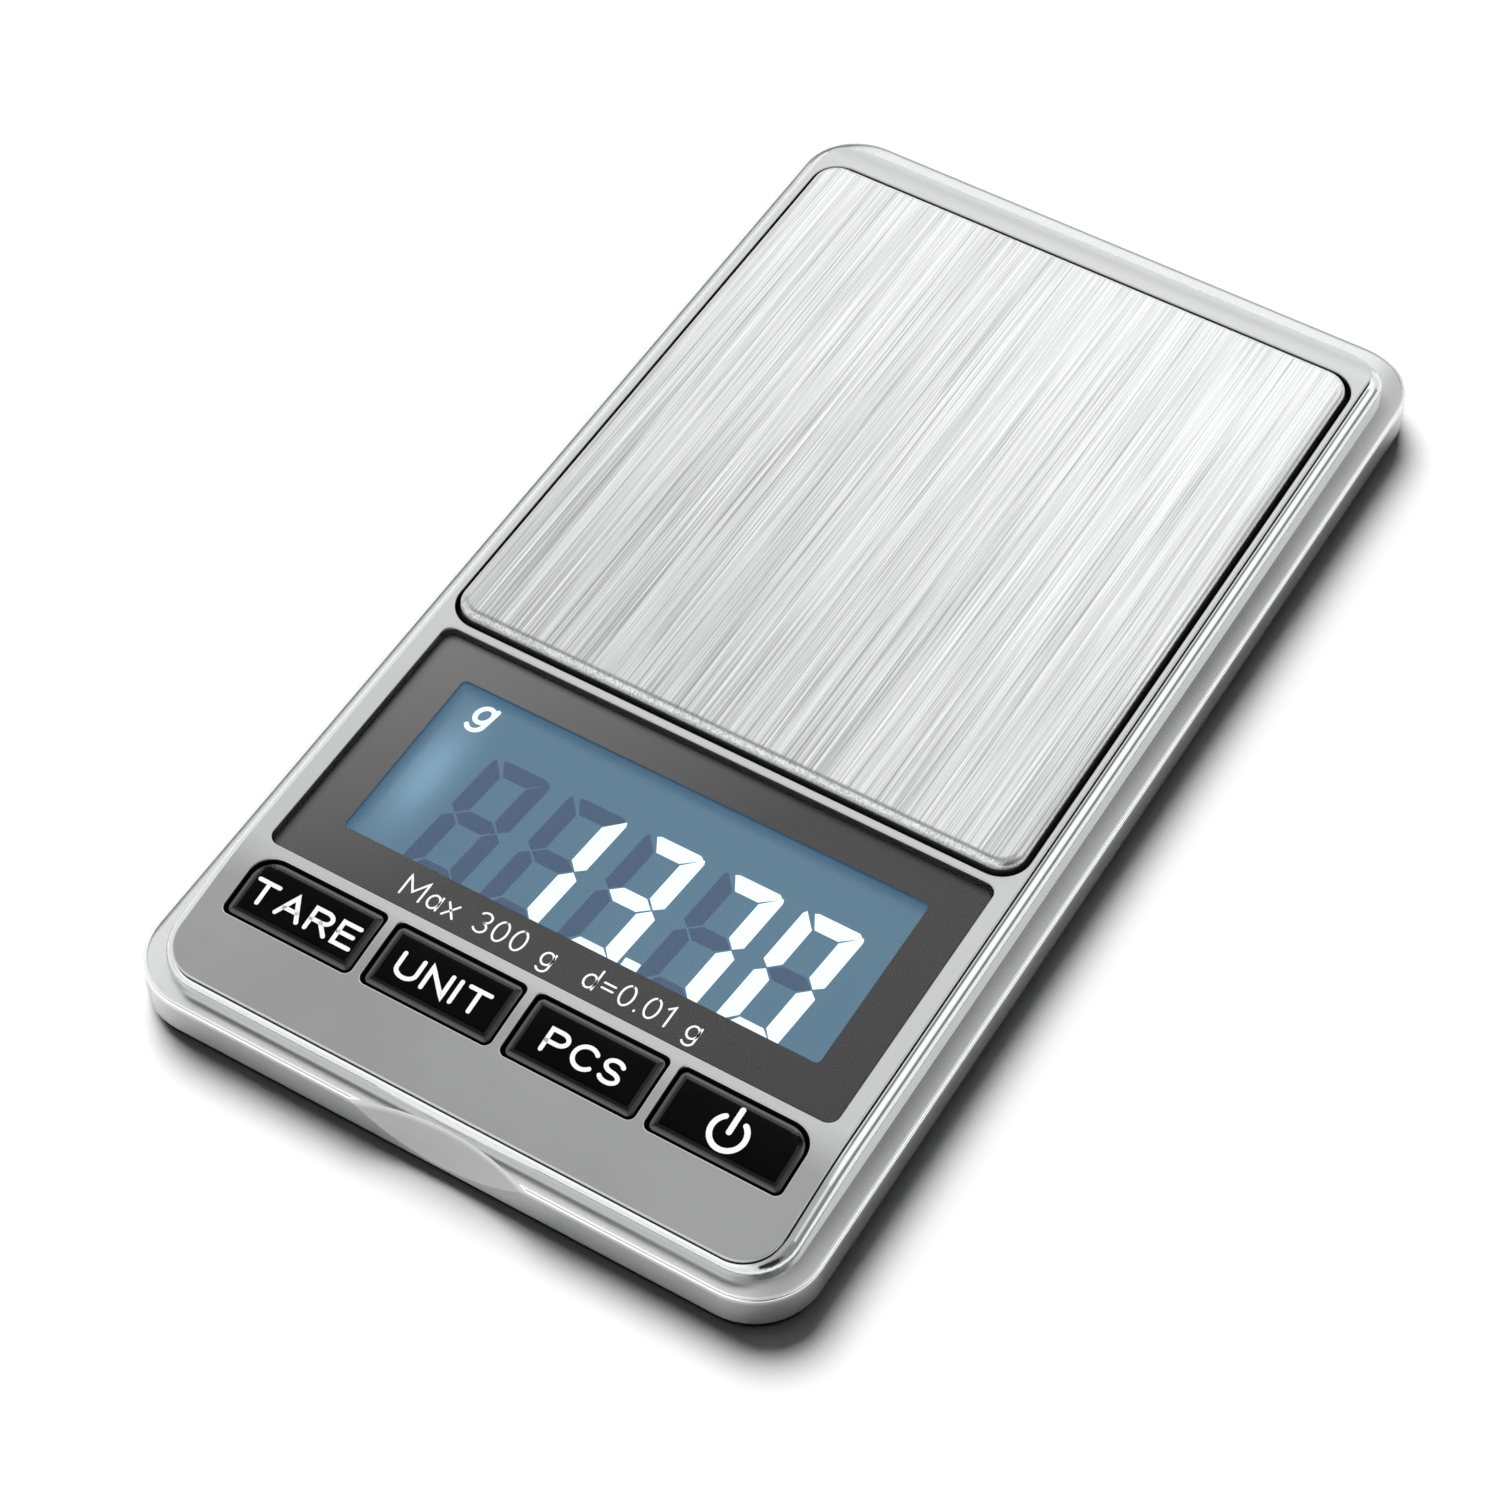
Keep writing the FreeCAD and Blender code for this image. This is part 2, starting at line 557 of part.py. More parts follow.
def make_bezel_ring():
    """Polished ring round the raised face, standing on the flange."""
    body = new_body("bezel_ring")
    sketch = between(body, d.bezel_half_width, d.bezel_front, d.bezel_back, d.bezel_corner, z=flange_top)
    pad(body, sketch, STOCK_TOP - flange_top)
    crown_cut(body, bezel_drop, above=True)
    fillet(body, d.bezel_fillet, crown_edge(bezel_drop))
    gap = d.small_gap
    sketch = between(body, d.housing_half_width + gap, d.housing_front - gap, d.housing_back + gap,
                     d.housing_corner + gap, z=wall_bottom)
    pocket(body, sketch, TOP)
    return body


def key_outline(body, name, shrink, z):
    """Sketch one key's opening or cap; the outer back corner of each end key is rounder."""
    end_corner = d.key_end_corner - shrink
    return rounded_rectangle(body, d.key_opening_width - 2 * shrink, d.key_opening_length - 2 * shrink,
                             d.key_corner - shrink / 2, x=key_columns[name], y=d.key_center, z=z,
                             back_left=end_corner if name == "tare" else None,
                             back_right=end_corner if name == "power" else None)


def cut_key_openings(body, bottom):
    """Cut the four key openings, upwards from a height."""
    for name in KEYS:
        pocket(body, key_outline(body, name, size(0), bottom), TOP)


def make_upper_housing():
    """Black inner housing: deck, platform recess, window seat, key openings and screw posts."""
    body = new_body("upper_housing")
    lip = d.lip_inset
    sketch = between(body, d.face_half_width - lip, d.face_front + lip, d.face_back - lip,
                     d.face_corner, z=d.rim_height)
    pad(body, sketch, STOCK_TOP - d.rim_height)
    crown_cut(body, bezel_drop, above=False)
    sketch = between(body, d.housing_half_width, d.housing_front, d.housing_back, d.housing_corner,
                     z=d.housing_bottom)
    pad(body, sketch, STOCK_TOP - d.housing_bottom)
    crown_cut(body, d.plate_thickness, above=True)
    wall = d.housing_wall
    sketch = between(body, d.housing_half_width - wall, d.housing_front + wall, d.housing_back - wall,
                     d.housing_corner - wall, z=d.housing_bottom)
    pocket(body, sketch, d.deck_bottom - d.housing_bottom)
    sketch = between(body, d.housing_half_width - d.small_corner, d.opening_front - d.recess_margin,
                     d.opening_back + d.recess_margin, d.spacer_corner, z=d.recess_floor_bottom)
    pad(body, sketch, d.recess_floor_top - d.recess_floor_bottom)
    sketch = between(body, d.opening_half_width, d.opening_front, d.opening_back, d.opening_corner,
                     z=d.recess_floor_top)
    pocket(body, sketch, TOP)
    box_pocket(body, d.cell_width + d.cell_window_margin, d.cell_window_length, d.spacer_corner, 0,
               d.cell_center - d.cell_end, d.recess_floor_bottom, d.recess_floor_top)
    seat_bottom = d.face_height - d.window_recess - d.window_thickness - d.adhesive
    box_pocket(body, 2 * (d.window_half_width + d.window_gap), window_length + 2 * d.window_gap,
               d.window_corner, 0, window_middle, seat_bottom, size(TOP))
    box_pocket(body, d.lcd_width + d.lcd_clearance_x, d.lcd_length + d.lcd_clearance_y, d.fit_corner, 0,
               d.lcd_center, d.deck_bottom, seat_bottom)
    cut_key_openings(body, d.deck_bottom)
    front_posts = housing_screw_places[:2]
    other_posts = housing_screw_places[2:]
    round_pad(body, d.post_diameter, front_posts, d.floor_top, d.deck_bottom)
    round_pad(body, d.post_diameter, other_posts, d.floor_top, d.recess_floor_bottom)
    round_pad(body, d.pcb_head, pcb_screw_places, board_top, d.deck_bottom)
    for side in LEFT_RIGHT:
        box_pad(body, d.brace_width, d.brace_thickness, d.small_corner, side * d.brace_x,
                d.opening_front - 1, board_top, d.recess_floor_bottom)
    round_pocket(body, d.screw_shank + d.screw_bite, housing_screw_places, d.floor_top,
                 d.floor_top + d.screw_hole_depth)
    round_pocket(body, d.pcb_shank + d.screw_bite, pcb_screw_places, board_top, board_top + d.pcb_hole_depth)
    return body


def make_face_plate():
    """Thin satin plate over the housing, bent down at the front and back."""
    body = new_body("face_plate")
    sketch = between(body, d.face_half_width, d.face_front, d.face_back, d.face_corner, z=d.rim_height)
    pad(body, sketch, STOCK_TOP - d.rim_height)
    crown_cut(body, 0, above=True)
    crown_cut(body, d.plate_thickness, above=False)
    sketch = between(body, d.opening_half_width, d.opening_front, d.opening_back, d.opening_corner,
                     z=d.rim_height)
    pocket(body, sketch, TOP)
    box_pocket(body, 2 * (d.window_half_width + d.window_gap), window_length + 2 * d.window_gap,
               d.window_corner + d.window_gap, 0, window_middle, d.rim_height, size(TOP))
    cut_key_openings(body, d.rim_height)
    fillet(body, d.plate_edge, crown_edge(size(0)))
    return body


def make_display():
    """Window, its adhesive, the LCD glass, its light guide, frame and contact strip."""
    window_bottom = d.face_height - d.window_recess - d.window_thickness
    window = new_body("display_window")
    box_pad(window, 2 * d.window_half_width, window_length, d.window_corner, 0, window_middle,
            window_bottom, window_bottom + d.window_thickness)
    tape = new_body("window_adhesive")
    tape_inset = 2 * d.window_gap
    box_pad(tape, 2 * d.window_half_width - tape_inset, window_length - tape_inset, d.window_corner, 0,
            window_middle, window_bottom - d.adhesive, window_bottom)
    box_pocket(tape, d.lcd_width + d.lcd_clearance_x, d.lcd_length + d.lcd_clearance_y, d.fit_corner, 0,
               d.lcd_center, window_bottom - d.adhesive, window_bottom)
    glass = box("lcd_glass", d.lcd_width, d.lcd_length, d.lcd_thickness, 0, d.lcd_center, d.lcd_bottom)
    guide_length = d.lcd_length - 2 * d.guide_offset
    guide = box("lcd_light_guide", d.lcd_width, guide_length, d.lcd_bottom - d.ledge_height - d.small_gap,
                0, d.lcd_center + d.guide_offset, d.ledge_height)
    frame = new_body("lcd_frame")
    around = 2 * d.frame_wall
    box_pad(frame, d.lcd_width + around, d.lcd_length + around, d.frame_wall, 0, d.lcd_center, board_top,
            d.lcd_bottom)
    box_pocket(frame, d.lcd_width + d.frame_clearance, d.lcd_length + d.frame_clearance, d.small_corner, 0,
               d.lcd_center, d.ledge_height, d.lcd_bottom + OVERRUN)
    box_pocket(frame, d.lcd_width - 2, d.lcd_length - 5, d.small_corner, 0, d.lcd_center + 1.5, board_top,
               d.ledge_height)
    strip_y = d.lcd_center - d.lcd_length / 2 + d.guide_offset
    box_pocket(frame, d.strip_length + d.strip_clearance, d.strip_thickness + d.strip_clearance,
               d.small_corner, 0, strip_y, board_top, d.ledge_height)
    strip = box("zebra_strip", d.strip_length, d.strip_thickness, d.lcd_bottom - board_top, 0, strip_y,
                board_top)
    leds = [box(f"led_{n}", d.led_width, d.led_depth, d.led_height, side * d.led_x,
                d.lcd_center + d.led_offset, board_top) for n, side in enumerate(LEFT_RIGHT)]
    return [window, tape, glass, guide, frame, strip, group("backlight_leds", leds)]


# ---------------------------------------------------------------- electronics

# Where the capacitors sit on the board.
CAPACITOR_PLACES = ((2.0, -24.5), (14.5, -30.0), (17.0, -26.0), (-4.0, -27.5), (12.0, -33.0), (-18.5, -26.0))


def make_board():
    """Circuit board with its chips, capacitors, crystal, switches and screws."""
    board = new_body("main_pcb")
    length = d.board_back - d.board_front
    middle = (d.board_back + d.board_front) / 2
    box_pad(board, d.board_width, length, d.board_corner, 0, middle, d.board_bottom, board_top)
    round_pocket(board, d.pcb_shank + d.cell_screw_gap, pcb_screw_places, d.board_bottom, board_top)
    controller = cylinder("controller_chip", d.controller_diameter, d.controller_height, d.controller_x,
                          d.controller_y, board_top)
    converter = box("converter_chip", d.converter_width, d.converter_length, d.converter_height,
                    d.converter_x, d.converter_y, board_top)
    crystal = box("clock_crystal", d.crystal_width, d.crystal_length, d.crystal_height, d.crystal_x,
                  d.crystal_y, board_top)
    chips = [box(f"capacitor_{n}", d.capacitor_width, d.capacitor_height, d.capacitor_height, x, y,
                 board_top) for n, (x, y) in enumerate(CAPACITOR_PLACES)]
    bodies = []
    for name, x in key_columns.items():
        block = box(f"switch_block_{name}", d.switch_size, d.switch_size, d.switch_height, x, d.key_center,
                    board_top)
        well = cylinder(f"switch_well_{name}", d.plunger_diameter + d.well_clearance, d.switch_height, x,
                        d.key_center, board_top + d.well_floor)
        bodies.append(cut(f"switch_{name}", block, well))
    screws = []
    for number, (x, y) in enumerate(pcb_screw_places):
        head = cylinder(f"pcb_head_{number}", d.pcb_head, d.pcb_head_height, x, y,
                        d.board_bottom - d.pcb_head_height)
        shank = cylinder(f"pcb_shank_{number}", d.pcb_shank, d.pcb_shank_length, x, y, d.board_bottom)
        screws.append(joined(f"pcb_screw_{number}", head, shank))
    return [board, controller, converter, crystal, group("capacitors", chips),
            group("tact_switches", bodies), group("pcb_screws", screws)]


def make_load_cell():
    """Aluminium bending beam, its gauge sealant, wires, fixing screws and stop."""
    block = box("cell_block", d.cell_width, d.cell_length, d.cell_height, 0, d.cell_center, d.cell_bottom)
    middle_height = d.cell_bottom + d.cell_height / 2
    half = d.cell_width / 2 + OVERRUN
    tools = []
    for side in LEFT_RIGHT:
        y = d.cell_center + side * d.cell_bore_spacing / 2
        tools.append(lying_cylinder(f"cell_bore_{side + 1}", d.cell_bore, 2 * half, -half, y, middle_height,
                                    ALONG_X))
    tools.append(box("cell_slot_tool", 2 * half, d.cell_bore_spacing, d.cell_slot, 0, d.cell_center,
                     middle_height - d.cell_slot / 2))
    for number, (x, y) in enumerate(fixed_screw_places + live_screw_places):
        tools.append(cylinder(f"cell_thread_{number}", d.cell_screw + d.cell_thread_gap,
                              d.cell_height + 2 * OVERRUN, x, y, d.cell_bottom - OVERRUN))
    cell = cut("load_cell", block, joined("cell_cuts", *tools))
    seal = box("gauge_sealant", d.seal_width, d.seal_length, d.seal_height, 0, d.cell_center,
               d.cell_bottom + d.cell_height)
    front = d.cell_center - d.cell_length / 2
    wires = [lying_cylinder(f"cell_wire_{n}", d.wire_diameter, front - solder_line, (n - 1.5) * d.wire_pitch,
                            solder_line, board_top + d.wire_diameter / 2, ALONG_Y) for n in range(4)]
    screws = []
    for number, (x, y) in enumerate(fixed_screw_places):
        base = cover_bottom + d.head_recess
        head = cylinder(f"cell_head_{number}", d.cell_head, d.cell_head_height, x, y,
                        base - d.cell_head_height)
        shank = cylinder(f"cell_shank_{number}", d.cell_screw, d.cell_shank_length, x, y, base)
        screws.append(joined(f"cell_screw_{number}", head, shank))
    stop = cylinder("overload_stop", d.stop_diameter, d.stop_height, 0, d.cell_center - d.cell_end,
                    cover_bottom + 2 * d.small_gap)
    return [cell, seal, group("load_cell_wires", wires), group("load_cell_screws", screws), stop]


def make_battery_parts():
    """Battery tray, two coin cells, their contacts, the leads to the board and the door."""
    tray = new_body("battery_tray")
    box_pad(tray, tray_width, tray_length, d.tray_corner, d.coin_x, coin_middle, d.tray_bottom, d.tray_top)
    box_pad(tray, d.ear_width, tray_length + 2 * d.ear_reach, d.fit_corner, d.coin_x, coin_middle,
            d.floor_top, d.floor_top + d.ear_height)
    ceiling = d.tray_top - d.tray_ceiling
    for place_of_coin in coin_places:
        round_pocket(tray, d.coin_diameter + 2 * d.coin_gap, [place_of_coin], d.tray_bottom, ceiling)
    lead_length = coin_middle - tray_length / 2 - solder_line
    slot_top = d.coin_bottom + d.contact_rise + d.contact_height + 2 * d.small_gap
    coins, leaves, strips, leads = [], [], [], []
    for number, (x, y) in enumerate(coin_places):
        can_height = d.coin_height - d.coin_step
        can = cylinder(f"coin_can_{number}", d.coin_diameter, can_height, x, y, d.coin_bottom)
        cap = cylinder(f"coin_cap_{number}", d.coin_diameter - 2 * d.coin_cap_inset, d.coin_step, x, y,
                       d.coin_bottom + can_height)
        coins.append(joined(f"coin_cell_{number}", can, cap))
        dip = cylinder(f"leaf_dip_{number}", d.leaf_dip, d.leaf_dip_height, x, y,
                       d.coin_bottom + d.coin_height)
        blade = box(f"leaf_blade_{number}", d.leaf_length, d.leaf_width, d.leaf_thickness, x, y,
                    ceiling - d.leaf_thickness)
        leaves.append(joined(f"contact_leaf_{number}", dip, blade))
        contact_x = x - d.coin_diameter / 2 - d.contact_gap
        box_pocket(tray, d.contact_slot, d.contact_width + 2 * d.small_gap, d.contact_gap,
                   contact_x + d.contact_thickness, y, d.tray_bottom, slot_top)
        strips.append(box(f"side_contact_{number}", d.contact_thickness, d.contact_width, d.contact_height,
                          contact_x, y, d.coin_bottom + d.contact_rise))
        leads.append(lying_cylinder(f"battery_lead_{number}", d.lead_diameter, lead_length,
                                    d.lead_x + d.lead_pitch * number, solder_line,
                                    board_top + d.lead_diameter / 2, ALONG_Y))
    door = new_body("battery_door")
    edge = d.body_width / 2 - d.cover_inset
    tongue_start = d.coin_x - tray_width / 2 + d.door_gap / 2
    plate_start = tongue_start + d.door_tongue
    tongue_bottom = cover_bottom + d.door_thickness - d.tongue_thickness
    box_pad(door, edge - plate_start, tray_length - 2 * d.door_tongue - 2 * d.door_gap, d.small_corner,
            (edge + plate_start) / 2, coin_middle, cover_bottom, tongue_bottom)
    box_pad(door, edge - tongue_start, tray_length - 2 * d.door_gap, d.small_corner,
            (edge + tongue_start) / 2, coin_middle, tongue_bottom, cover_bottom + d.door_thickness)
    for groove in range(5):
        box_pocket(door, d.grip_width, d.grip_length, d.small_corner,
                   d.coin_x + d.grip_offset + d.grip_pitch * groove, coin_middle, cover_bottom,
                   cover_bottom + d.grip_depth)
    return [tray, group("coin_cells", coins), group("battery_springs", leaves),
            group("battery_side_contacts", strips), group("battery_wires", leads), door]


# ---------------------------------------------------------------- moving pieces

def make_platform():
    """Pressed platform, its carrier, tape pads, spacer and carrier screws."""
    platform = new_body("weighing_platform")
    box_pad(platform, platform_width, platform_length, d.opening_corner - d.platform_gap, 0, platform_middle,
            d.platform_skirt, d.platform_top)

    def top_edge(edge):
        return edge.BoundBox.ZMin > DIMENSIONS["platform_top"] - 1e-3

    fillet(platform, d.platform_edge, top_edge)
    box_pocket(platform, platform_width - 2 * d.platform_sheet, platform_length - 2 * d.platform_sheet,
               d.opening_corner - d.platform_gap - d.platform_sheet, 0, platform_middle, d.platform_skirt,
               d.platform_top - d.platform_sheet)
    carrier = new_body("platform_carrier")
    carrier_top = d.carrier_bottom + d.carrier_thickness
    box_pad(carrier, d.carrier_width, d.carrier_length, d.carrier_corner, 0, platform_middle,
            d.carrier_bottom, carrier_top)
    head_seat = carrier_top - d.carrier_head_depth
    round_pocket(carrier, d.cell_screw + d.cell_screw_gap, live_screw_places, d.carrier_bottom, carrier_top)
    round_pocket(carrier, d.carrier_head_hole, live_screw_places, head_seat, carrier_top)
    pad_height = d.platform_top - d.platform_sheet - carrier_top
    pad_grid = [(nx, ny) for nx in (-1, 0, 1) for ny in (-1, 0, 1) if (nx, ny) != (0, -1)]
    pads = [box(f"tape_pad_{n}", d.pad_size, d.pad_size, pad_height, nx * d.pad_pitch_x,
                platform_middle + ny * d.pad_pitch_y, carrier_top) for n, (nx, ny) in enumerate(pad_grid)]
    cell_top = d.cell_bottom + d.cell_height
    spacer = new_body("load_cell_spacer")
    box_pad(spacer, d.cell_width, d.spacer_length, d.spacer_corner, 0,
            d.cell_center - d.cell_end - d.spacer_shift, cell_top, d.carrier_bottom)
    round_pocket(spacer, d.cell_screw + d.cell_screw_gap, live_screw_places, cell_top, d.carrier_bottom)
    screws = []
    for number, (x, y) in enumerate(live_screw_places):
        head = cylinder(f"carrier_head_{number}", d.carrier_head, d.carrier_head_height, x, y, head_seat)
        shank = cylinder(f"carrier_shank_{number}", d.cell_screw, d.carrier_shank_length, x, y,
                         head_seat - d.carrier_shank_length)
        screws.append(joined(f"carrier_screw_{number}", head, shank))
    return [platform, carrier, group("platform_pads", pads), spacer, group("carrier_screws", screws)]


def make_keys():
    """Four key caps, each with a retaining flange and a stem that sits on its switch plunger."""
    pieces = []
    for name, x in key_columns.items():
        key = new_body(f"key_{name}")
        pad(key, key_outline(key, name, d.key_gap, d.key_flange_bottom), STOCK_TOP - d.key_flange_bottom)
        crown_cut(key, d.key_sink, above=True)
        fillet(key, d.key_edge, crown_edge(d.key_sink))
        box_pad(key, d.key_opening_width - 2 * d.key_flange_inset, d.key_opening_length + 2 * d.key_flange,
                d.key_corner, x, d.key_center, d.key_flange_bottom, d.deck_bottom - d.small_gap)
        round_pad(key, d.stem_diameter, [(x, d.key_center)], d.plunger_top, d.key_flange_bottom)
        plunger = cylinder(f"plunger_{name}", d.plunger_diameter, d.plunger_length, x, d.key_center,
                           d.plunger_top - d.plunger_length)
        pieces += [key, plunger]
    return pieces


# ---------------------------------------------------------------- fasteners and feet

def make_feet_and_screws():
    """Rubber feet and the six screws that hold the housing together."""
    feet = [cylinder(f"foot_{n}", d.foot_diameter, d.foot_drop + d.foot_socket, x, y, 0)
            for n, (x, y) in enumerate(foot_places)]
    screws = []
    for number, (x, y) in enumerate(housing_screw_places):
        base = cover_bottom + d.head_recess
        head = cylinder(f"housing_head_{number}", d.screw_head, d.head_height, x, y, base - d.head_height)
        shank = cylinder(f"housing_shank_{number}", d.screw_shank, d.screw_length, x, y, base)
        screws.append(joined(f"housing_screw_{number}", head, shank))
    return [group("rubber_feet", feet), group("housing_screws", screws)]


nodes = [make_bottom_cover(), make_lower_casing(), make_bezel_ring(), make_upper_housing()]
nodes += [make_face_plate()] + make_display() + make_board() + make_load_cell() + make_battery_parts()
nodes += make_platform() + make_keys() + make_feet_and_screws()
document.recompute()

for thing in document.Objects:
    if "Invalid" in thing.State or "Error" in thing.State:
        raise RuntimeError(f"{thing.Label} failed: {thing.State}")
os.makedirs("parts", exist_ok=True)
for node in nodes:
    shape = node.Shape
    if shape.isNull() or not shape.isValid() or not shape.Solids:
        raise RuntimeError(f"{node.Label} has no valid solid")
    shape.exportStep(f"parts/{node.Label}.step")
    extent = shape.BoundBox
    print(f"{node.Label:24s} {len(shape.Solids)} solid(s) {shape.Volume:9.1f} mm3 "
          f"x {extent.XMin:7.2f} {extent.XMax:7.2f} y {extent.YMin:7.2f} {extent.YMax:7.2f} "
          f"z {extent.ZMin:6.2f} {extent.ZMax:6.2f}")
print(len(nodes), "nodes")
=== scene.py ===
import bmesh
import bpy
import math
from mathutils import Matrix, Vector


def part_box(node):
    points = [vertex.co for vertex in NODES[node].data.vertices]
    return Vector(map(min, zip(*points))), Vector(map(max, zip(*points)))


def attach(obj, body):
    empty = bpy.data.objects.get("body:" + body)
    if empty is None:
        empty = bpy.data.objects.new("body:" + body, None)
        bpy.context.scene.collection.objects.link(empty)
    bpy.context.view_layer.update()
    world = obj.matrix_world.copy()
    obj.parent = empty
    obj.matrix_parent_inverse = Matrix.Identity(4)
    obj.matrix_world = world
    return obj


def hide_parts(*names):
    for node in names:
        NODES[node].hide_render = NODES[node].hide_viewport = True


# A pocket digital gram scale: materials, printed and polished details, studio and camera.
# Metres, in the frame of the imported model: +Z up, +Y to the back, +X to the right.

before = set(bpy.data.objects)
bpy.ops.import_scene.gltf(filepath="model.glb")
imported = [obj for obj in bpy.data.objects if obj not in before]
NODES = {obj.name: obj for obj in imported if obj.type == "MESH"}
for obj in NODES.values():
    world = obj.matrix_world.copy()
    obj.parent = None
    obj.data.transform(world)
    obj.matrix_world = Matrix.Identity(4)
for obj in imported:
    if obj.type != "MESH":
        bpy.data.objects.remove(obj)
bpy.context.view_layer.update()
MM = 0.001


# ---------------------------------------------------------------- the frame's own sizes

FACE_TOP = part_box("face_plate")[1][2]
WINDOW_LOW, WINDOW_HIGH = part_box("display_window")
LCD_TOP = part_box("lcd_glass")[1][2]
CASING_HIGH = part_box("lower_casing")[1]

# The face is flat up to its front bend, where it curves down to a straight slope.
FRONT_BEND, FRONT_RADIUS, FRONT_SLOPE = -44.3 * MM, 30.0 * MM, math.radians(8.0)


def face_height(y):
    """Height of the face plate's top at y, from the flat table forwards."""
    past = FRONT_BEND - y
    arc_run = FRONT_RADIUS * math.sin(FRONT_SLOPE)
    if past <= 0:
        return FACE_TOP
    if past <= arc_run:
        return FACE_TOP - FRONT_RADIUS + math.sqrt(FRONT_RADIUS ** 2 - past ** 2)
    straight = past - arc_run
    return FACE_TOP - FRONT_RADIUS * (1 - math.cos(FRONT_SLOPE)) - straight * math.tan(FRONT_SLOPE)


# ---------------------------------------------------------------- node helpers

# Short names for the shader's own sockets.
SOCKETS = {
    "roughness": "Roughness", "metallic": "Metallic", "specular": "Specular IOR Level",
    "coat": "Coat Weight", "coat_roughness": "Coat Roughness", "emission": "Emission Strength",
}
# The range that a noise mostly stays in, and its middle.
NOISE_LOW, NOISE_HIGH, NOISE_MIDDLE = 0.3, 0.7, 0.5


class Nodes:
    """A node tree with short calls that add to it. Its textures lie in one kind of coordinates."""

    def __init__(self, tree, coordinates):
        self.tree = tree
        self.place = self.node("ShaderNodeTexCoord").outputs[coordinates]

    def node(self, kind, **settings):
        """Add a node and set its properties."""
        made = self.tree.nodes.new(kind)
        for name, value in settings.items():
            setattr(made, name, value)
        return made

    def link(self, source, target):
        self.tree.links.new(source, target)

    def noise(self, scale, detail=2.0, roughness=0.5, stretch=(1, 1, 1)):
        """Noise over the place; stretch scales each axis."""
        mapping = self.node("ShaderNodeMapping")
        mapping.inputs["Scale"].default_value = stretch
        self.link(self.place, mapping.inputs["Vector"])
        texture = self.node("ShaderNodeTexNoise")
        for name, value in (("Scale", scale), ("Detail", detail), ("Roughness", roughness)):
            texture.inputs[name].default_value = value
        self.link(mapping.outputs["Vector"], texture.inputs["Vector"])
        return texture.outputs["Fac"]

    def axis(self, name):
        """One coordinate of the place."""
        split = self.node("ShaderNodeSeparateXYZ")
        self.link(self.place, split.inputs["Vector"])
        return split.outputs[name]

    def remap(self, source, low, high, out_low, out_high, smooth=False):
        """Stretch the range from low to high to the range from out_low to out_high."""
        remap = self.node("ShaderNodeMapRange")
        if smooth:
            remap.interpolation_type = "SMOOTHSTEP"
        limits = {"From Min": low, "From Max": high, "To Min": out_low, "To Max": out_high}
        for name, value in limits.items():
            remap.inputs[name].default_value = value
        self.link(source, remap.inputs["Value"])
        return remap.outputs["Result"]

    def vary(self, source, low, high):
        """Stretch a noise's usual range to low and high."""
        return self.remap(source, NOISE_LOW, NOISE_HIGH, low, high)

    def math(self, operation, *values):
        """A math node; each value is a socket or a number."""
        made = self.node("ShaderNodeMath", operation=operation)
        for socket, value in zip(made.inputs, values):
            if isinstance(value, (int, float)):
                socket.default_value = value
            else:
                self.link(value, socket)
        return made.outputs["Value"]

    def add(self, first, second):
        return self.math("ADD", first, second)

    def minus(self, first, second):
        return self.math("SUBTRACT", first, second)

    def times(self, first, second):
        return self.math("MULTIPLY", first, second)

    def squared(self, value):
        return self.math("POWER", value, 2.0)

    def ramp(self, source, *stops):
        """A colour ramp from (position, colour) stops."""
        ramp = self.node("ShaderNodeValToRGB")
        elements = ramp.color_ramp.elements
        while len(elements) < len(stops):
            elements.new(0.5)
        for element, (position, colour) in zip(elements, stops):
            element.position = position
            element.color = (*colour, 1)
        self.link(source, ramp.inputs["Fac"])
        return ramp.outputs["Color"]


class Shader(Nodes):
    """A material's nodes round one Principled shader, over the object's own coordinates."""

    def __init__(self, name, colour, **values):
        self.material = bpy.data.materials.new(name)
        self.material.use_nodes = True
        super().__init__(self.material.node_tree, "Object")
        self.principled = self.tree.nodes["Principled BSDF"]
        self.principled.inputs["Base Color"].default_value = (*colour, 1)
        for key, value in values.items():
            self.principled.inputs[SOCKETS[key]].default_value = value

    def drive(self, socket, source):
        """Let a node drive one of the shader's sockets."""
        self.link(source, self.principled.inputs[socket])

    def bump(self, height, strength, distance):
        """Relief from a height."""
        bump = self.node("ShaderNodeBump")
        bump.inputs["Strength"].default_value = strength
        bump.inputs["Distance"].default_value = distance
        self.link(height, bump.inputs["Height"])
        self.drive("Normal", bump.outputs["Normal"])


def grey(value, blue=0.0):
    """A grey, a little cooler for a positive blue."""
    return (value * (1 - blue), value, value * (1 + blue))


def shade(colour, factor):
    """The colour made lighter or darker."""
    return tuple(channel * factor for channel in colour)


def dress(material, *names):
    """Give CAD nodes a material."""
    for name in names:
        for slot in NODES[name].material_slots:
            slot.material = material


# ---------------------------------------------------------------- materials

# Noise scales in cells per metre.
METAL_GRAIN, SLOW_CLOUD, MOULD_GRAIN, WEAR = 14000.0, 45.0, 4500.0, 120.0
FINE_LINES, COARSE_LINES, BROAD_LINES = 9000.0, 4200.0, 260.0
KEY_HAZE, KEY_PEEL, INK_COVER, DIFFUSER_PATCH, WINDOW_SMEAR = 350.0, 500.0, 6000.0, 70.0, 90.0
PANEL_PATCH, PRINT_SPECK = 80.0, 5000.0

# Relief depths.
METAL_DEPTH, MOULD_DEPTH, INK_DEPTH, BRUSHED_DEPTH = 0.005 * MM, 0.02 * MM, 0.01 * MM, 0.012 * MM

# Across the platform, from its front left to its back right, the tone gets lighter: a painted reflection,
# lighter to the back right.
PAINTED_SHEEN_FROM, PAINTED_SHEEN_TO = -25.0 * MM, 55.0 * MM
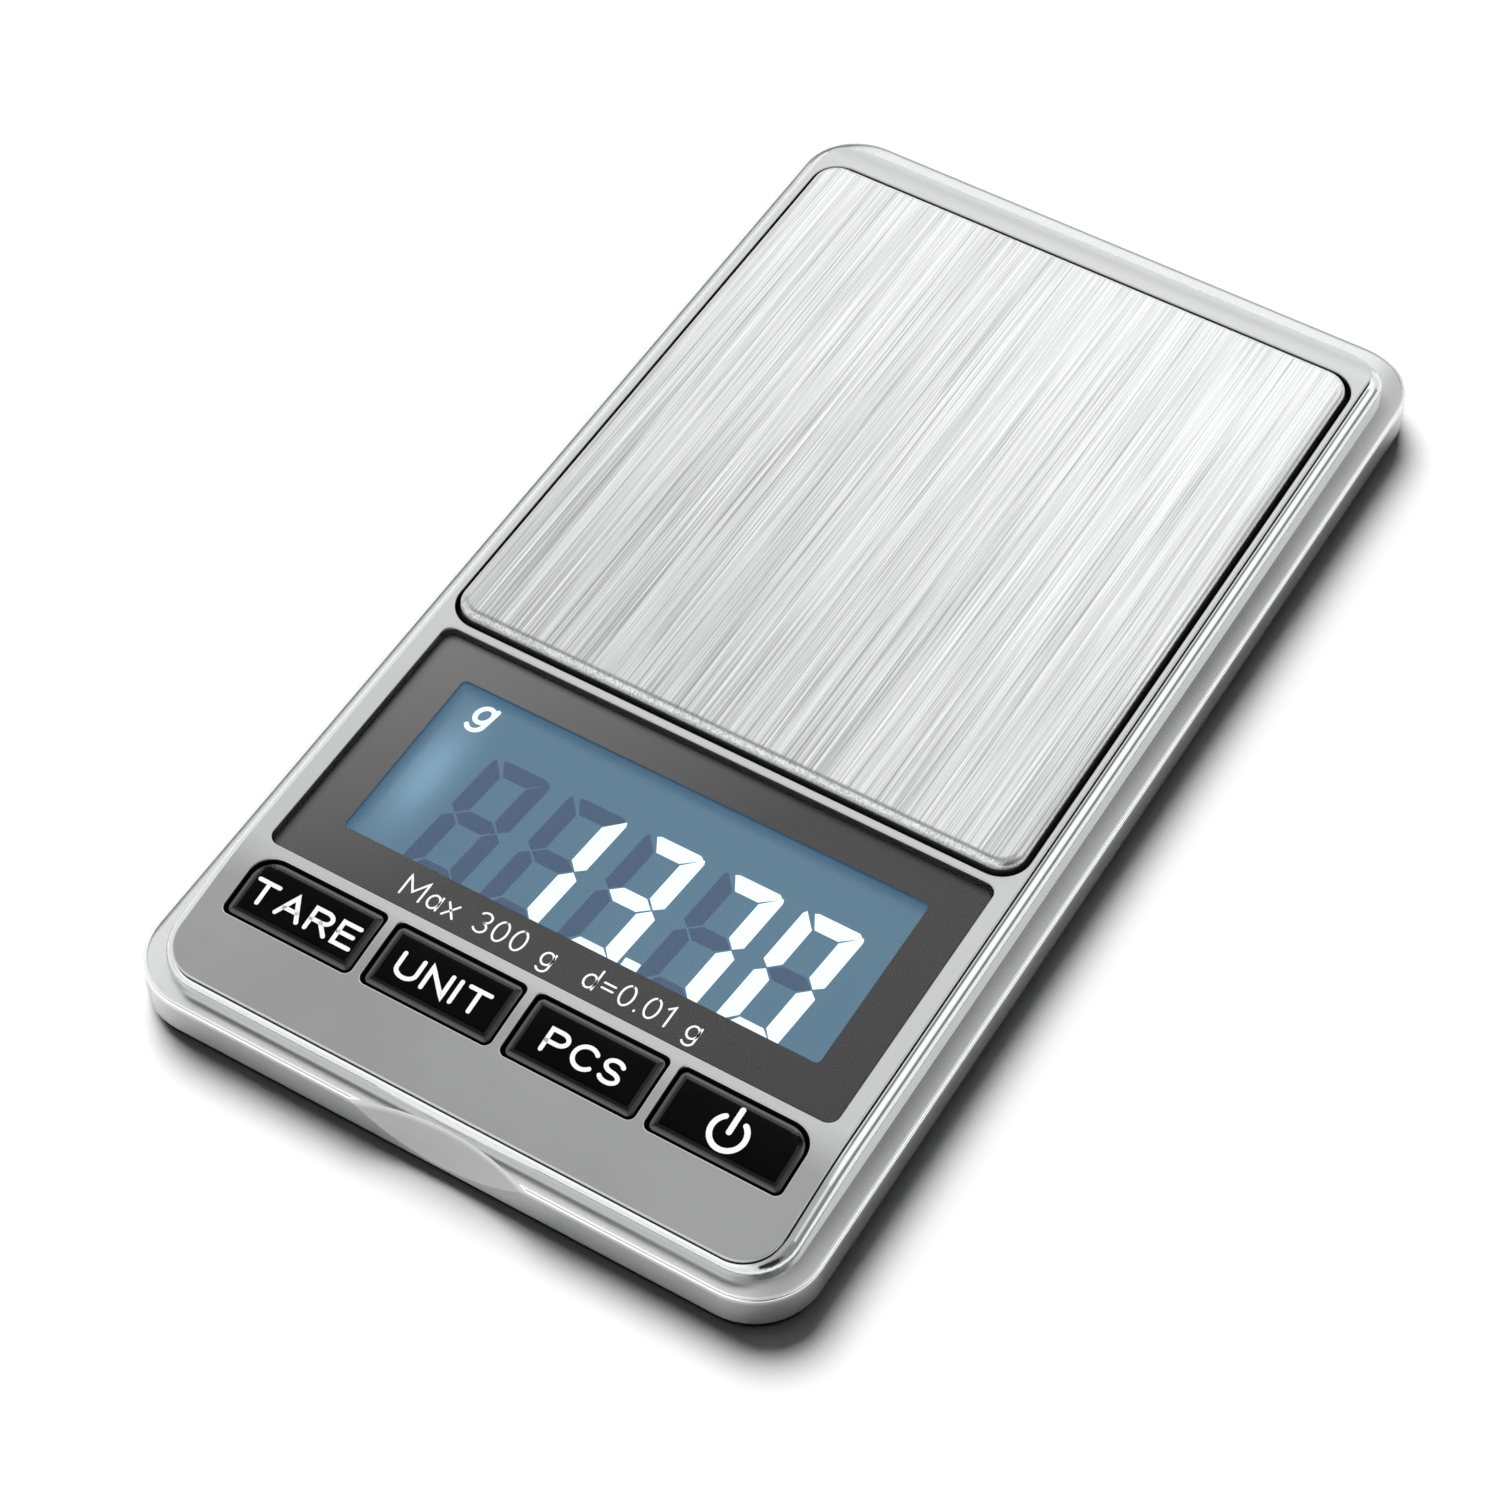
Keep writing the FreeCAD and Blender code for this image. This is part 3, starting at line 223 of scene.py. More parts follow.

# The casing's tone changes over the top of its height: painted shade darkens its walls, a slight painted
# shade sits at the bead's foot, and a painted highlight lightens its bead, which starts at this share of
# that.
CASING_FADE = 1.0 * MM
BEAD_FOOT, BEAD_SIDE = 0.84, 0.9
CASING_METALLIC = 0.75

# The outer part of the rim's long sides reflects as if it fell outwards, up to this slope.
RIM_FALL_RUN, RIM_FALL = 7.0 * MM, 0.26
CASING_GRAIN = 0.00002 * MM

# The lit panel: its shaded edges and the centre and reach of its soft glow.
PANEL_LEFT, PANEL_BACK, PANEL_SHADE = -23.6 * MM, -20.5 * MM, 1.7 * MM
GLOW_X, GLOW_Y, GLOW_REACH_X, GLOW_REACH_Y = -20.4 * MM, -30.5 * MM, 2.0 * MM, 6.0 * MM

# Painted light on the window's print: it gets lighter between these values of Y less X.
PRINT_LIGHT_FROM, PRINT_LIGHT_TO = -0.075, 0.012


def metal(name, colour, roughness, grain=METAL_GRAIN, relief=0.02):
    """Plated metal: fine grain, and a slow change in polish over the surface."""
    shader = Shader(name, colour, roughness=roughness, metallic=1.0)
    fine = shader.noise(grain, 3.0)
    slow = shader.noise(SLOW_CLOUD, 3.0)
    mixed = shader.add(shader.times(fine, 0.5), shader.times(slow, 0.5))
    tone = shader.ramp(mixed, (NOISE_LOW, shade(colour, 0.97)), (NOISE_HIGH, shade(colour, 1.02)))
    shader.drive("Roughness", shader.vary(mixed, roughness * 0.8, roughness * 1.2))
    shader.drive("Base Color", tone)
    shader.bump(fine, relief, METAL_DEPTH)
    return shader.material


def painted_casing():
    """Silver-painted casing with duller sides; its walls are darkened as painted shade, and the cut bead
    along the top of its rim is polished and lightened as a painted highlight.
    """
    # Painted shade: the walls take the darker tone; painted highlight: the bead takes the bright one.
    painted_shade_wall, rim, bright = grey(0.42, 0.003), grey(0.68, 0.003), grey(0.97)
    shader = Shader("satin_casing", rim, roughness=0.2, metallic=CASING_METALLIC)
    fine = shader.noise(METAL_GRAIN, 3.0)
    slow = shader.noise(SLOW_CLOUD, 3.0)
    level = shader.remap(shader.axis("Z"), CASING_HIGH[2] - CASING_FADE, CASING_HIGH[2], 0.0, 1.0)
    cloud = shader.times(shader.minus(slow, NOISE_MIDDLE), 0.02)
    # Tone by height: painted shade on the walls, a slight painted shade at the bead's foot, a painted
    # highlight on the bead.
    tone = shader.ramp(shader.add(level, cloud), (0.3, painted_shade_wall), (0.7, rim), (BEAD_FOOT, shade(rim, 0.95)),
                       (BEAD_SIDE, bright))
    shader.drive("Base Color", tone)
    shader.drive("Metallic", shader.remap(level, BEAD_FOOT, BEAD_SIDE, CASING_METALLIC, 1.0))
    shader.drive("Roughness", shader.vary(slow, 0.16, 0.24))
    outward = shader.math("ABSOLUTE", shader.axis("X"))
    beyond = shader.math("MAXIMUM", shader.minus(outward, CASING_HIGH[0] - RIM_FALL_RUN), 0.0)
    fall = shader.times(shader.squared(beyond), -RIM_FALL / (2.0 * RIM_FALL_RUN))
    shader.bump(shader.add(fall, shader.times(fine, CASING_GRAIN)), 1.0, 1.0)
    return shader.material


def brushed_steel():
    """Stainless sheet brushed along its length: fine broken hairlines, a few of them deeper and darker."""
    base = grey(0.68, 0.003)
    shader = Shader("brushed_steel", base, roughness=0.3, metallic=1.0)
    fine = shader.noise(FINE_LINES, 2.0, 0.6, stretch=(1.0, 0.005, 1.0))
    coarse = shader.noise(COARSE_LINES, 2.0, 0.6, stretch=(1.0, 0.006, 1.0))
    broad = shader.noise(BROAD_LINES, 2.0, 0.5, stretch=(1.2, 0.06, 1.0))
    lines = shader.add(shader.times(fine, 0.66), shader.times(coarse, 0.26))
    lines = shader.add(lines, shader.times(broad, 0.08))
    # Painted reflection: the tone lightens from the front left to the back right.
    diagonal = shader.add(shader.axis("Y"), shader.times(shader.axis("X"), 0.6))
    lines = shader.add(lines, shader.remap(diagonal, PAINTED_SHEEN_FROM, PAINTED_SHEEN_TO, -0.06, 0.05))
    tone = shader.ramp(lines, (0.37, shade(base, 0.62)), (0.45, shade(base, 0.94)),
                       (0.54, shade(base, 1.04)), (0.64, shade(base, 1.25)))
    shader.drive("Base Color", tone)
    shader.drive("Roughness", shader.remap(lines, 0.38, 0.62, 0.4, 0.24))
    shader.bump(lines, 0.3, BRUSHED_DEPTH)
    return shader.material


def moulded(name, colour, roughness, grain=MOULD_GRAIN, relief=0.25, specular=0.4):
    """Moulded plastic or rubber with a fine spark-eroded texture and slight rubbing."""
    shader = Shader(name, colour, roughness=roughness, specular=specular)
    texture = shader.noise(grain, 4.0, 0.6)
    worn = shader.noise(WEAR, 3.0)
    tone = shader.ramp(worn, (0.35, shade(colour, 0.85)), (0.7, shade(colour, 1.2)))
    shader.drive("Base Color", tone)
    shader.drive("Roughness", shader.vary(worn, roughness * 0.85, min(1.0, roughness * 1.15)))
    shader.bump(texture, relief, MOULD_DEPTH)
    return shader.material


def gloss_key(name, specular, coat):
    """Glossy black key plastic, with the faint haze and orange peel of a moulded gloss part."""
    colour = grey(0.0015)
    shader = Shader(name, colour, roughness=0.12, specular=specular, coat=coat, coat_roughness=0.08)
    haze = shader.noise(KEY_HAZE, 3.0)
    shader.drive("Roughness", shader.remap(haze, 0.35, 0.7, 0.09, 0.17))
    shader.drive("Base Color", shader.ramp(haze, (0.3, shade(colour, 0.8)), (0.8, shade(colour, 1.4))))
    shader.bump(shader.noise(KEY_PEEL, 1.0), 0.03, MOULD_DEPTH)
    return shader.material


def printed_white(name="legend_white"):
    """Screen-printed white ink, slightly uneven."""
    colour = grey(0.9)
    shader = Shader(name, colour, roughness=0.5)
    cover = shader.noise(INK_COVER, 3.0)
    shader.drive("Base Color", shader.ramp(cover, (NOISE_LOW, shade(colour, 0.92)), (NOISE_HIGH, colour)))
    shader.drive("Roughness", shader.vary(cover, 0.42, 0.6))
    shader.bump(cover, 0.1, INK_DEPTH)
    return shader.material


def glowing(name, colour, strength, uneven):
    """A backlit LCD area: it glows, with the slight unevenness of its diffuser."""
    shader = Shader(name, shade(colour, 0.25), roughness=0.35, emission=strength, specular=0.1)
    patch = shader.noise(DIFFUSER_PATCH, 2.0)
    darker, lighter = shade(colour, 1 - uneven), shade(colour, 1 + uneven)
    shader.drive("Emission Color", shader.ramp(patch, (NOISE_LOW, darker), (NOISE_HIGH, lighter)))
    return shader.material


def window_clear():
    """Clear hard-coated acrylic: seen through, with a thin mirror-like skin."""
    shader = Shader("window_clear", grey(0.9), roughness=0.05, metallic=1.0)
    smear = shader.noise(WINDOW_SMEAR, 4.0)
    shader.drive("Roughness", shader.remap(smear, 0.35, 0.75, 0.04, 0.12))
    clear = shader.node("ShaderNodeBsdfTransparent")
    facing = shader.node("ShaderNodeLayerWeight").outputs["Facing"]
    skin = shader.remap(shader.math("POWER", facing, 5.0), 0.0, 1.0, 0.012, 0.9)
    mix = shader.node("ShaderNodeMixShader")
    shader.link(skin, mix.inputs["Fac"])
    shader.link(clear.outputs["BSDF"], mix.inputs[1])
    shader.link(shader.principled.outputs["BSDF"], mix.inputs[2])
    shader.link(mix.outputs["Shader"], shader.tree.nodes["Material Output"].inputs["Surface"])
    return shader.material


def lcd_blue():
    """The blue backlit panel: a soft glow near its left end and darker along the left and back edges."""
    dark, even, bright = (0.012, 0.066, 0.13), (0.078, 0.157, 0.223), (0.2, 0.35, 0.48)
    shader = Shader("lcd_blue", (0.02, 0.04, 0.06), roughness=0.4, specular=0.1, emission=0.9)
    from_left = shader.minus(shader.axis("X"), PANEL_LEFT)
    from_back = shader.minus(PANEL_BACK, shader.axis("Y"))
    nearest = shader.math("MINIMUM", from_left, from_back)
    edge = shader.remap(nearest, 0.0, PANEL_SHADE, 0.0, 1.0, smooth=True)
    glow_x = shader.math("DIVIDE", shader.minus(shader.axis("X"), GLOW_X), GLOW_REACH_X)
    glow_y = shader.math("DIVIDE", shader.minus(shader.axis("Y"), GLOW_Y), GLOW_REACH_Y)
    spread = shader.add(shader.squared(glow_x), shader.squared(glow_y))
    glow = shader.math("EXPONENT", shader.times(spread, -1.0))
    patch = shader.times(shader.minus(shader.noise(PANEL_PATCH), NOISE_MIDDLE), 0.05)
    level = shader.add(shader.times(glow, 0.4), patch)
    level = shader.add(shader.times(edge, 0.5), level)
    shader.drive("Emission Color", shader.ramp(level, (0.0, dark), (0.5, even), (0.92, bright)))
    return shader.material


def window_print():
    """Smoke-grey ink under the window, with painted light that makes it lighter to the back left."""
    shader = Shader("window_print", grey(0.05), roughness=0.4, specular=0.3)
    across = shader.minus(shader.axis("Y"), shader.axis("X"))
    speck = shader.times(shader.noise(PRINT_SPECK, 2.0), 0.0015)
    # Painted light: the print's tone rises towards the back left.
    level = shader.remap(shader.add(across, speck), PRINT_LIGHT_FROM, PRINT_LIGHT_TO, 0.0, 1.0)
    tone = shader.ramp(level, (0.0, grey(0.024)), (0.55, grey(0.036)), (1.0, grey(0.14)))
    shader.drive("Base Color", tone)
    return shader.material


# ---------------------------------------------------------------- mesh helpers

SHARP_ANGLE = math.radians(35)


def make_piece(name, points, faces, material, body, smooth=True):
    """Make a piece from points and faces, give it a material and let it ride on a body."""
    mesh = bpy.data.meshes.new(name)
    mesh.from_pydata(points, [], faces)
    facing_out = bmesh.new()
    facing_out.from_mesh(mesh)
    bmesh.ops.recalc_face_normals(facing_out, faces=facing_out.faces)
    facing_out.to_mesh(mesh)
    facing_out.free()
    mesh.materials.append(material)
    for face in mesh.polygons:
        face.use_smooth = smooth
    if smooth:
        mesh.set_sharp_from_angle(angle=SHARP_ANGLE)
    piece = bpy.data.objects.new(name, mesh)
    bpy.context.scene.collection.objects.link(piece)
    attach(piece, body)
    return piece


class Solid:
    """Points and faces gathered for one piece."""

    def __init__(self):
        self.points = []
        self.faces = []

    def ring(self, points):
        """Add a closed ring of points and return their numbers."""
        first = len(self.points)
        self.points += [tuple(point) for point in points]
        return list(range(first, len(self.points)))

    def bridge(self, low, high, closed=True):
        """Join two rings of equal length with quads."""
        count = len(low)
        for i in range(count if closed else count - 1):
            j = (i + 1) % count
            self.faces.append((low[i], low[j], high[j], high[i]))

    def lid(self, ring):
        """Close a ring with one face."""
        self.faces.append(tuple(ring))

    def stack(self, rings):
        """A closed solid through rings of points, from its bottom to its top."""
        numbers = [self.ring(points) for points in rings]
        for low, high in zip(numbers, numbers[1:]):
            self.bridge(low, high)
        self.lid(reversed(numbers[0]))
        self.lid(numbers[-1])

    def piece(self, name, material, body, smooth=True):
        """Turn what is gathered into a piece."""
        return make_piece(name, self.points, self.faces, material, body, smooth)


def rounded_outline(x, y, half_x, half_y, radii, steps=8, side_steps=1):
    """Points round a rectangle with round corners, anticlockwise from the back right.

    radii are those of the back right, back left, front left and front right corners.
    """
    points = []
    signs = ((1, 1), (-1, 1), (-1, -1), (1, -1))
    for quarter, ((sign_x, sign_y), radius) in enumerate(zip(signs, radii)):
        centre = (x + sign_x * (half_x - radius), y + sign_y * (half_y - radius))
        for step in range(steps + 1):
            angle = (quarter + step / steps) * math.pi / 2
            points.append((centre[0] + radius * math.cos(angle), centre[1] + radius * math.sin(angle)))
    if side_steps == 1:
        return points
    dense = []
    for index, (ax, ay) in enumerate(points):
        bx, by = points[(index + 1) % len(points)]
        parts = side_steps if index % (steps + 1) == steps else 1
        dense += [(ax + (bx - ax) * k / parts, ay + (by - ay) * k / parts) for k in range(parts)]
    return dense


def lifted(outline, height):
    """The outline's points at a height, which is a number or a function of x and y."""
    if callable(height):
        return [(x, y, height(x, y)) for x, y in outline]
    return [(x, y, height) for x, y in outline]


def slab(solid, outline, bottom, top):
    """Add an upright prism to a solid."""
    solid.stack([lifted(outline, bottom), lifted(outline, top)])


def frame_plate(solid, outer, inner, bottom, top):
    """Add a flat frame between two outlines of equal length."""
    sections = ((outer, bottom), (outer, top), (inner, top), (inner, bottom))
    rings = [solid.ring(lifted(outline, height)) for outline, height in sections]
    for ring, following in zip(rings, rings[1:] + rings[:1]):
        solid.bridge(ring, following)


# ---------------------------------------------------------------- strokes and lettering

STROKE_STEP = 0.4 * MM
ROUND_END_STEPS = 8
# The most that a bend's corner is pushed out, and the least cosine that it is worked out from.
MITRE_MOST, MITRE_COSINE = 2.2, 0.3


def arc(x, y, radius_x, radius_y, start, stop, steps=10):
    """Points on an ellipse between two angles in degrees."""
    angles = [math.radians(start + (stop - start) * k / steps) for k in range(steps + 1)]
    return [(x + radius_x * math.cos(angle), y + radius_y * math.sin(angle)) for angle in angles]


# Plain one-line letters, drawn in a box 1 high: the width, then each stroke as a run of points.
LETTERS = {
    "T": (0.74, [[(0, 1), (0.74, 1)], [(0.37, 1), (0.37, 0)]]),
    "A": (0.8, [[(0, 0), (0.4, 1), (0.8, 0)], [(0.16, 0.36), (0.64, 0.36)]]),
    "R": (0.7, [[(0, 0), (0, 1), (0.42, 1)] + arc(0.42, 0.74, 0.26, 0.26, 90, -90) + [(0, 0.48)],
                [(0.36, 0.48), (0.7, 0)]]),
    "E": (0.62, [[(0.62, 1), (0, 1), (0, 0), (0.62, 0)], [(0, 0.52), (0.54, 0.52)]]),
    "U": (0.72, [[(0, 1), (0, 0.34)] + arc(0.36, 0.34, 0.36, 0.34, 180, 360) + [(0.72, 1)]]),
    "N": (0.74, [[(0, 0), (0, 1), (0.74, 0), (0.74, 1)]]),
    "I": (0.0, [[(0, 0), (0, 1)]]),
    "P": (0.66, [[(0, 0), (0, 1), (0.38, 1)] + arc(0.38, 0.72, 0.28, 0.28, 90, -90) + [(0, 0.44)]]),
    "C": (0.7, [arc(0.4, 0.5, 0.4, 0.5, 42, 318, 18)]),
    "S": (0.64, [arc(0.33, 0.74, 0.29, 0.26, 25, 270, 12) + arc(0.33, 0.24, 0.31, 0.24, 90, -155, 12)]),
    "M": (0.9, [[(0, 0), (0, 1), (0.45, 0.3), (0.9, 1), (0.9, 0)]]),
    "a": (0.52, [arc(0.25, 0.33, 0.25, 0.33, 0, 360, 16), [(0.52, 0.68), (0.52, 0)]]),
    "x": (0.5, [[(0, 0.66), (0.5, 0)], [(0.5, 0.66), (0, 0)]]),
    "d": (0.5, [arc(0.25, 0.33, 0.25, 0.33, 0, 360, 16), [(0.5, 1), (0.5, 0)]]),
    "g": (0.5, [arc(0.25, 0.35, 0.25, 0.31, 0, 360, 16),
                [(0.5, 0.66), (0.5, -0.06)] + arc(0.25, -0.06, 0.25, 0.24, 0, -150, 8)]),
    "=": (0.5, [[(0, 0.58), (0.5, 0.58)], [(0, 0.32), (0.5, 0.32)]]),
    ".": (0.0, [[(0, 0), (0, 0.04)]]),
    "0": (0.56, [arc(0.28, 0.5, 0.28, 0.5, 90, 450, 24)]),
    "1": (0.22, [[(0, 0.8), (0.22, 1), (0.22, 0)]]),
    "3": (0.54, [arc(0.27, 0.75, 0.26, 0.25, 150, -90, 12) + arc(0.27, 0.25, 0.27, 0.25, 90, -150, 12)]),
    " ": (0.3, []),
}


def resampled(points, step):
    """The run of points with no gap longer than step."""
    run = [points[0]]
    for (ax, ay), (bx, by) in zip(points, points[1:]):
        parts = max(1, math.ceil(math.hypot(bx - ax, by - ay) / step))
        run += [(ax + (bx - ax) * k / parts, ay + (by - ay) * k / parts) for k in range(1, parts + 1)]
    return run


def stroke_edges(run, half):
    """Pairs of points to the left and right of a run of points, with mitred bends."""
    pairs = []
    for index, (x, y) in enumerate(run):
        behind = run[max(index - 1, 0)]
        ahead = run[min(index + 1, len(run) - 1)]
        before = Vector((x - behind[0], y - behind[1]))
        after = Vector((ahead[0] - x, ahead[1] - y))
        before = (before if before.length > 0 else after).normalized()
        after = (after if after.length > 0 else before).normalized()
        mean = before + after
        mean = mean.normalized() if mean.length > 1e-6 else after
        mitre = min(MITRE_MOST, 1 / max(MITRE_COSINE, mean.dot(after)))
        side = Vector((-mean.y, mean.x)) * half * mitre
        pairs.append([(x + side.x, y + side.y), (x - side.x, y - side.y)])
    return pairs


def round_end(end, inner, half):
    """Points round the end of a stroke whose last but one point is inner."""
    x, y = end
    away = Vector((x - inner[0], y - inner[1])).normalized()
    facing = math.atan2(away.y, away.x)
    turns = [k * math.pi / ROUND_END_STEPS - math.pi / 2 for k in range(1, ROUND_END_STEPS)]
    return [(x + half * math.cos(facing + turn), y + half * math.sin(facing + turn)) for turn in turns]


def raised_ring(solid, points, surface, level):
    """Add points at a level above a surface, which gives z from x and y."""
    return solid.ring([(x, y, surface(x, y) + level) for x, y in points])


def stroke(solid, points, width, surface, thickness):
    """Add a flat stroke with round ends that lies on a surface."""
    run = resampled(points, STROKE_STEP)
    pairs = stroke_edges(run, width / 2)
    ends = [round_end(run[0], run[1], width / 2), round_end(run[-1], run[-2], width / 2)]
    sides = []
    for level in (0.0, thickness):
        row = [raised_ring(solid, pair, surface, level) for pair in pairs]
        fans = [raised_ring(solid, end, surface, level) for end in ends]
        sides.append((row, fans))
    (low, low_fans), (high, high_fans) = sides
    for a, b in zip(range(len(low) - 1), range(1, len(low))):
        solid.lid((high[a][0], high[a][1], high[b][1], high[b][0]))
        solid.lid((low[a][0], low[b][0], low[b][1], low[a][1]))
        solid.lid((low[a][0], high[a][0], high[b][0], low[b][0]))
        solid.lid((low[a][1], low[b][1], high[b][1], high[a][1]))
    for end, first, last, low_fan, high_fan in ((0, 0, 1, low_fans[0], high_fans[0]),
                                                (-1, 1, 0, low_fans[1], high_fans[1])):
        low_loop = [low[end][first]] + low_fan + [low[end][last]]
        high_loop = [high[end][first]] + high_fan + [high[end][last]]
        solid.lid(high_loop)
        solid.lid(reversed(low_loop))
        solid.bridge(low_loop, high_loop, closed=False)


def write(solid, text, x, y, height, width, surface, thickness,
          gap=0.3, slant=0.0, spread=1.0, centred=True):
    """Add a line of lettering with its left or its centre at x and its foot at y; spread widens it."""
    advance = sum(LETTERS[letter][0] * spread + gap for letter in text) - gap
    at = x - (advance * height / 2 if centred else 0)
    for letter in text:
        wide, strokes = LETTERS[letter]
        for run in strokes:
            placed = [(at + (u * spread + slant * v) * height, y + v * height) for u, v in run]
            stroke(solid, placed, width, surface, thickness)
        at += (wide * spread + gap) * height


# ---------------------------------------------------------------- display

LCD_LEFT, LCD_RIGHT, LCD_FRONT, LCD_BACK = -23.4 * MM, 23.4 * MM, -39.15 * MM, -20.5 * MM
LCD_CORNER = 0.5 * MM
DIGIT_PITCH, DIGIT_LAST_X, DIGIT_MIDDLE_Y = 7.76 * MM, 17.05 * MM, -33.05 * MM
DIGIT_HALF_WIDTH, DIGIT_HALF_HEIGHT, DIGIT_STROKE = 3.0 * MM, 7.05 * MM, 1.8 * MM
DIGIT_SLANT, DIGIT_SPLIT = 0.08, 0.17 * MM
DIGIT_CUT_OFF = LCD_FRONT - 0.3 * MM
SHOWN = " 1370"
SEGMENTS_LIT = {" ": "", "0": "abcdef", "1": "bc", "3": "abcdg", "7": "abc"}

# Heights above the glass: the foot of every segment, and the tops of lit and unlit ones.
SEGMENT_FOOT, LIT_TOP, GHOST_TOP = 0.005 * MM, 0.035 * MM, 0.02 * MM

# The decimal point and the unit letter.
POINT_X, POINT_Y, POINT_HALF_X, POINT_HALF_Y = 5.1 * MM, -38.9 * MM, 0.75 * MM, 0.7 * MM
POINT_CORNER = 0.1 * MM
UNIT_X, UNIT_Y, UNIT_HEIGHT = -20.6 * MM, -23.9 * MM, 2.9 * MM
UNIT_STROKE, UNIT_THICKNESS, UNIT_SLANT = 0.46 * MM, 0.03 * MM, 0.15

# The window's printed mask and small lettering, with heights above the window's underside.
MASK_MARGIN, MASK_CORNER, MASK_FOOT, MASK_TOP = 0.05 * MM, 1.0 * MM, 0.01 * MM, 0.02 * MM
WORDS_X, WORDS_Y, WORDS_HEIGHT, WORDS_STROKE = -0.9 * MM, -42.55 * MM, 2.1 * MM, 0.2 * MM
WORDS_FOOT, WORDS_THICKNESS = 0.022 * MM, 0.006 * MM


def segment_outline(segment):
    """One segment's outline about the digit's centre, before the slant."""
    w, h, s = DIGIT_HALF_WIDTH, DIGIT_HALF_HEIGHT, DIGIT_STROKE
    split = DIGIT_SPLIT / 2
    tip, corner, nick, shoulder = 0.45 * s, 0.12 * s, 0.2 * s, 0.35 * s
    top = [(-w + tip, h - corner), (-w + tip + nick, h), (w - shoulder, h), (w - 0.1 * s, h - nick),
           (w - s, h - s), (-w + s, h - s)]
    middle = [(-w + tip, 0), (-w + s, s / 2), (w - s, s / 2), (w - tip, 0), (w - s, -s / 2),
              (-w + s, -s / 2)]
    upright = [(w, h - shoulder), (w, shoulder), (w - tip, 0), (w - s, s / 2), (w - s, h - s),
               (w - corner, h - corner)]
    if segment == "g":
        outline = [(x * (1 - split / w), y) for x, y in middle]
    elif segment in "ad":
        mirror_y = -1 if segment == "d" else 1
        outline = [(x * (1 - split / w), mirror_y * y) for x, y in top]
    else:
        mirror_x = -1 if segment in "ef" else 1
        mirror_y = -1 if segment in "ce" else 1
        outline = [(mirror_x * x, mirror_y * y) for x, y in upright]
    middle_x = sum(x for x, y in outline) / len(outline)
    middle_y = sum(y for x, y in outline) / len(outline)
    shrink_x = 1 - split / max(abs(x - middle_x) for x, y in outline)
    shrink_y = 1 - split / max(abs(y - middle_y) for x, y in outline)
    return [(middle_x + (x - middle_x) * shrink_x, middle_y + (y - middle_y) * shrink_y)
            for x, y in outline]


def clipped(outline, low):
    """The part of a convex outline at or behind y = low."""
    kept = []
    for (ax, ay), (bx, by) in zip(outline, outline[1:] + outline[:1]):
        if ay >= low:
            kept.append((ax, ay))
        if (ay - low) * (by - low) < 0:
            share = (low - ay) / (by - ay)
            kept.append((ax + (bx - ax) * share, low))
    return kept


def make_digits():
    """Five segment digits, a point and the unit, cut off by the front of the window's mask."""
    lit, ghost = Solid(), Solid()
    foot = LCD_TOP + SEGMENT_FOOT
    for place, figure in enumerate(SHOWN):
        centre_x = DIGIT_LAST_X - (len(SHOWN) - 1 - place) * DIGIT_PITCH
        for segment in "abcdefg":
            slanted = [(centre_x + x + DIGIT_SLANT * y, DIGIT_MIDDLE_Y + y)
                       for x, y in segment_outline(segment)]
            outline = clipped(slanted, DIGIT_CUT_OFF)
            if len(outline) < 3:
                continue
            if segment in SEGMENTS_LIT[figure]:
                slab(lit, outline, foot, LCD_TOP + LIT_TOP)
            else:
                slab(ghost, outline, foot, LCD_TOP + GHOST_TOP)
    point = rounded_outline(POINT_X, POINT_Y, POINT_HALF_X, POINT_HALF_Y, [POINT_CORNER] * 4, 2)
    slab(lit, point, foot, LCD_TOP + LIT_TOP)
    write(lit, "g", UNIT_X, UNIT_Y, UNIT_HEIGHT, UNIT_STROKE, lambda x, y: foot, UNIT_THICKNESS,
          slant=UNIT_SLANT, centred=False)
    white = glowing("segment_lit", (0.78, 0.93, 0.96), 0.93, 0.015)
    dark = glowing("segment_ghost", (0.05, 0.085, 0.155), 0.85, 0.03)
    for piece in (lit.piece("lcd_lit_segments", white, "housing", smooth=False),
                  ghost.piece("lcd_ghost_segments", dark, "housing", smooth=False)):
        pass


def make_window_print():
    """The smoke-grey mask printed on the window's underside, and its line of small lettering."""
    middle_y = (WINDOW_LOW[1] + WINDOW_HIGH[1]) / 2
    half_x = WINDOW_HIGH[0] - MASK_MARGIN
    half_y = (WINDOW_HIGH[1] - WINDOW_LOW[1]) / 2 - MASK_MARGIN
    under = WINDOW_LOW[2]
    outer = rounded_outline(0.0, middle_y, half_x, half_y, [MASK_CORNER] * 4)
    inner = rounded_outline((LCD_LEFT + LCD_RIGHT) / 2, (LCD_FRONT + LCD_BACK) / 2,
                            (LCD_RIGHT - LCD_LEFT) / 2, (LCD_BACK - LCD_FRONT) / 2, [LCD_CORNER] * 4)
    mask = Solid()
    frame_plate(mask, outer, inner, under + MASK_FOOT, under + MASK_TOP)
    mask.piece("window_mask", window_print(), "housing", smooth=False)
    words = Solid()
    write(words, "Max 300 g  d=0.01 g", WORDS_X, WORDS_Y, WORDS_HEIGHT, WORDS_STROKE,
          lambda x, y: under + WORDS_FOOT, WORDS_THICKNESS)
    lettering = words.piece("window_lettering", printed_white("window_ink"), "housing", smooth=False)


# ---------------------------------------------------------------- keys

KEY_NAMES = ("tare", "unit", "pcs", "power")
KEY_SINK = 0.05 * MM
KEY_BEVEL, KEY_BEVEL_DROP = 0.95 * MM, 0.2 * MM
KEY_EDGE = 0.12 * MM
KEY_HALF_X, KEY_HALF_Y = 6.17 * MM, 2.97 * MM
KEY_CORNER, KEY_END_CORNER, KEY_LEAST_CORNER = 0.6 * MM, 2.1 * MM, 0.02 * MM
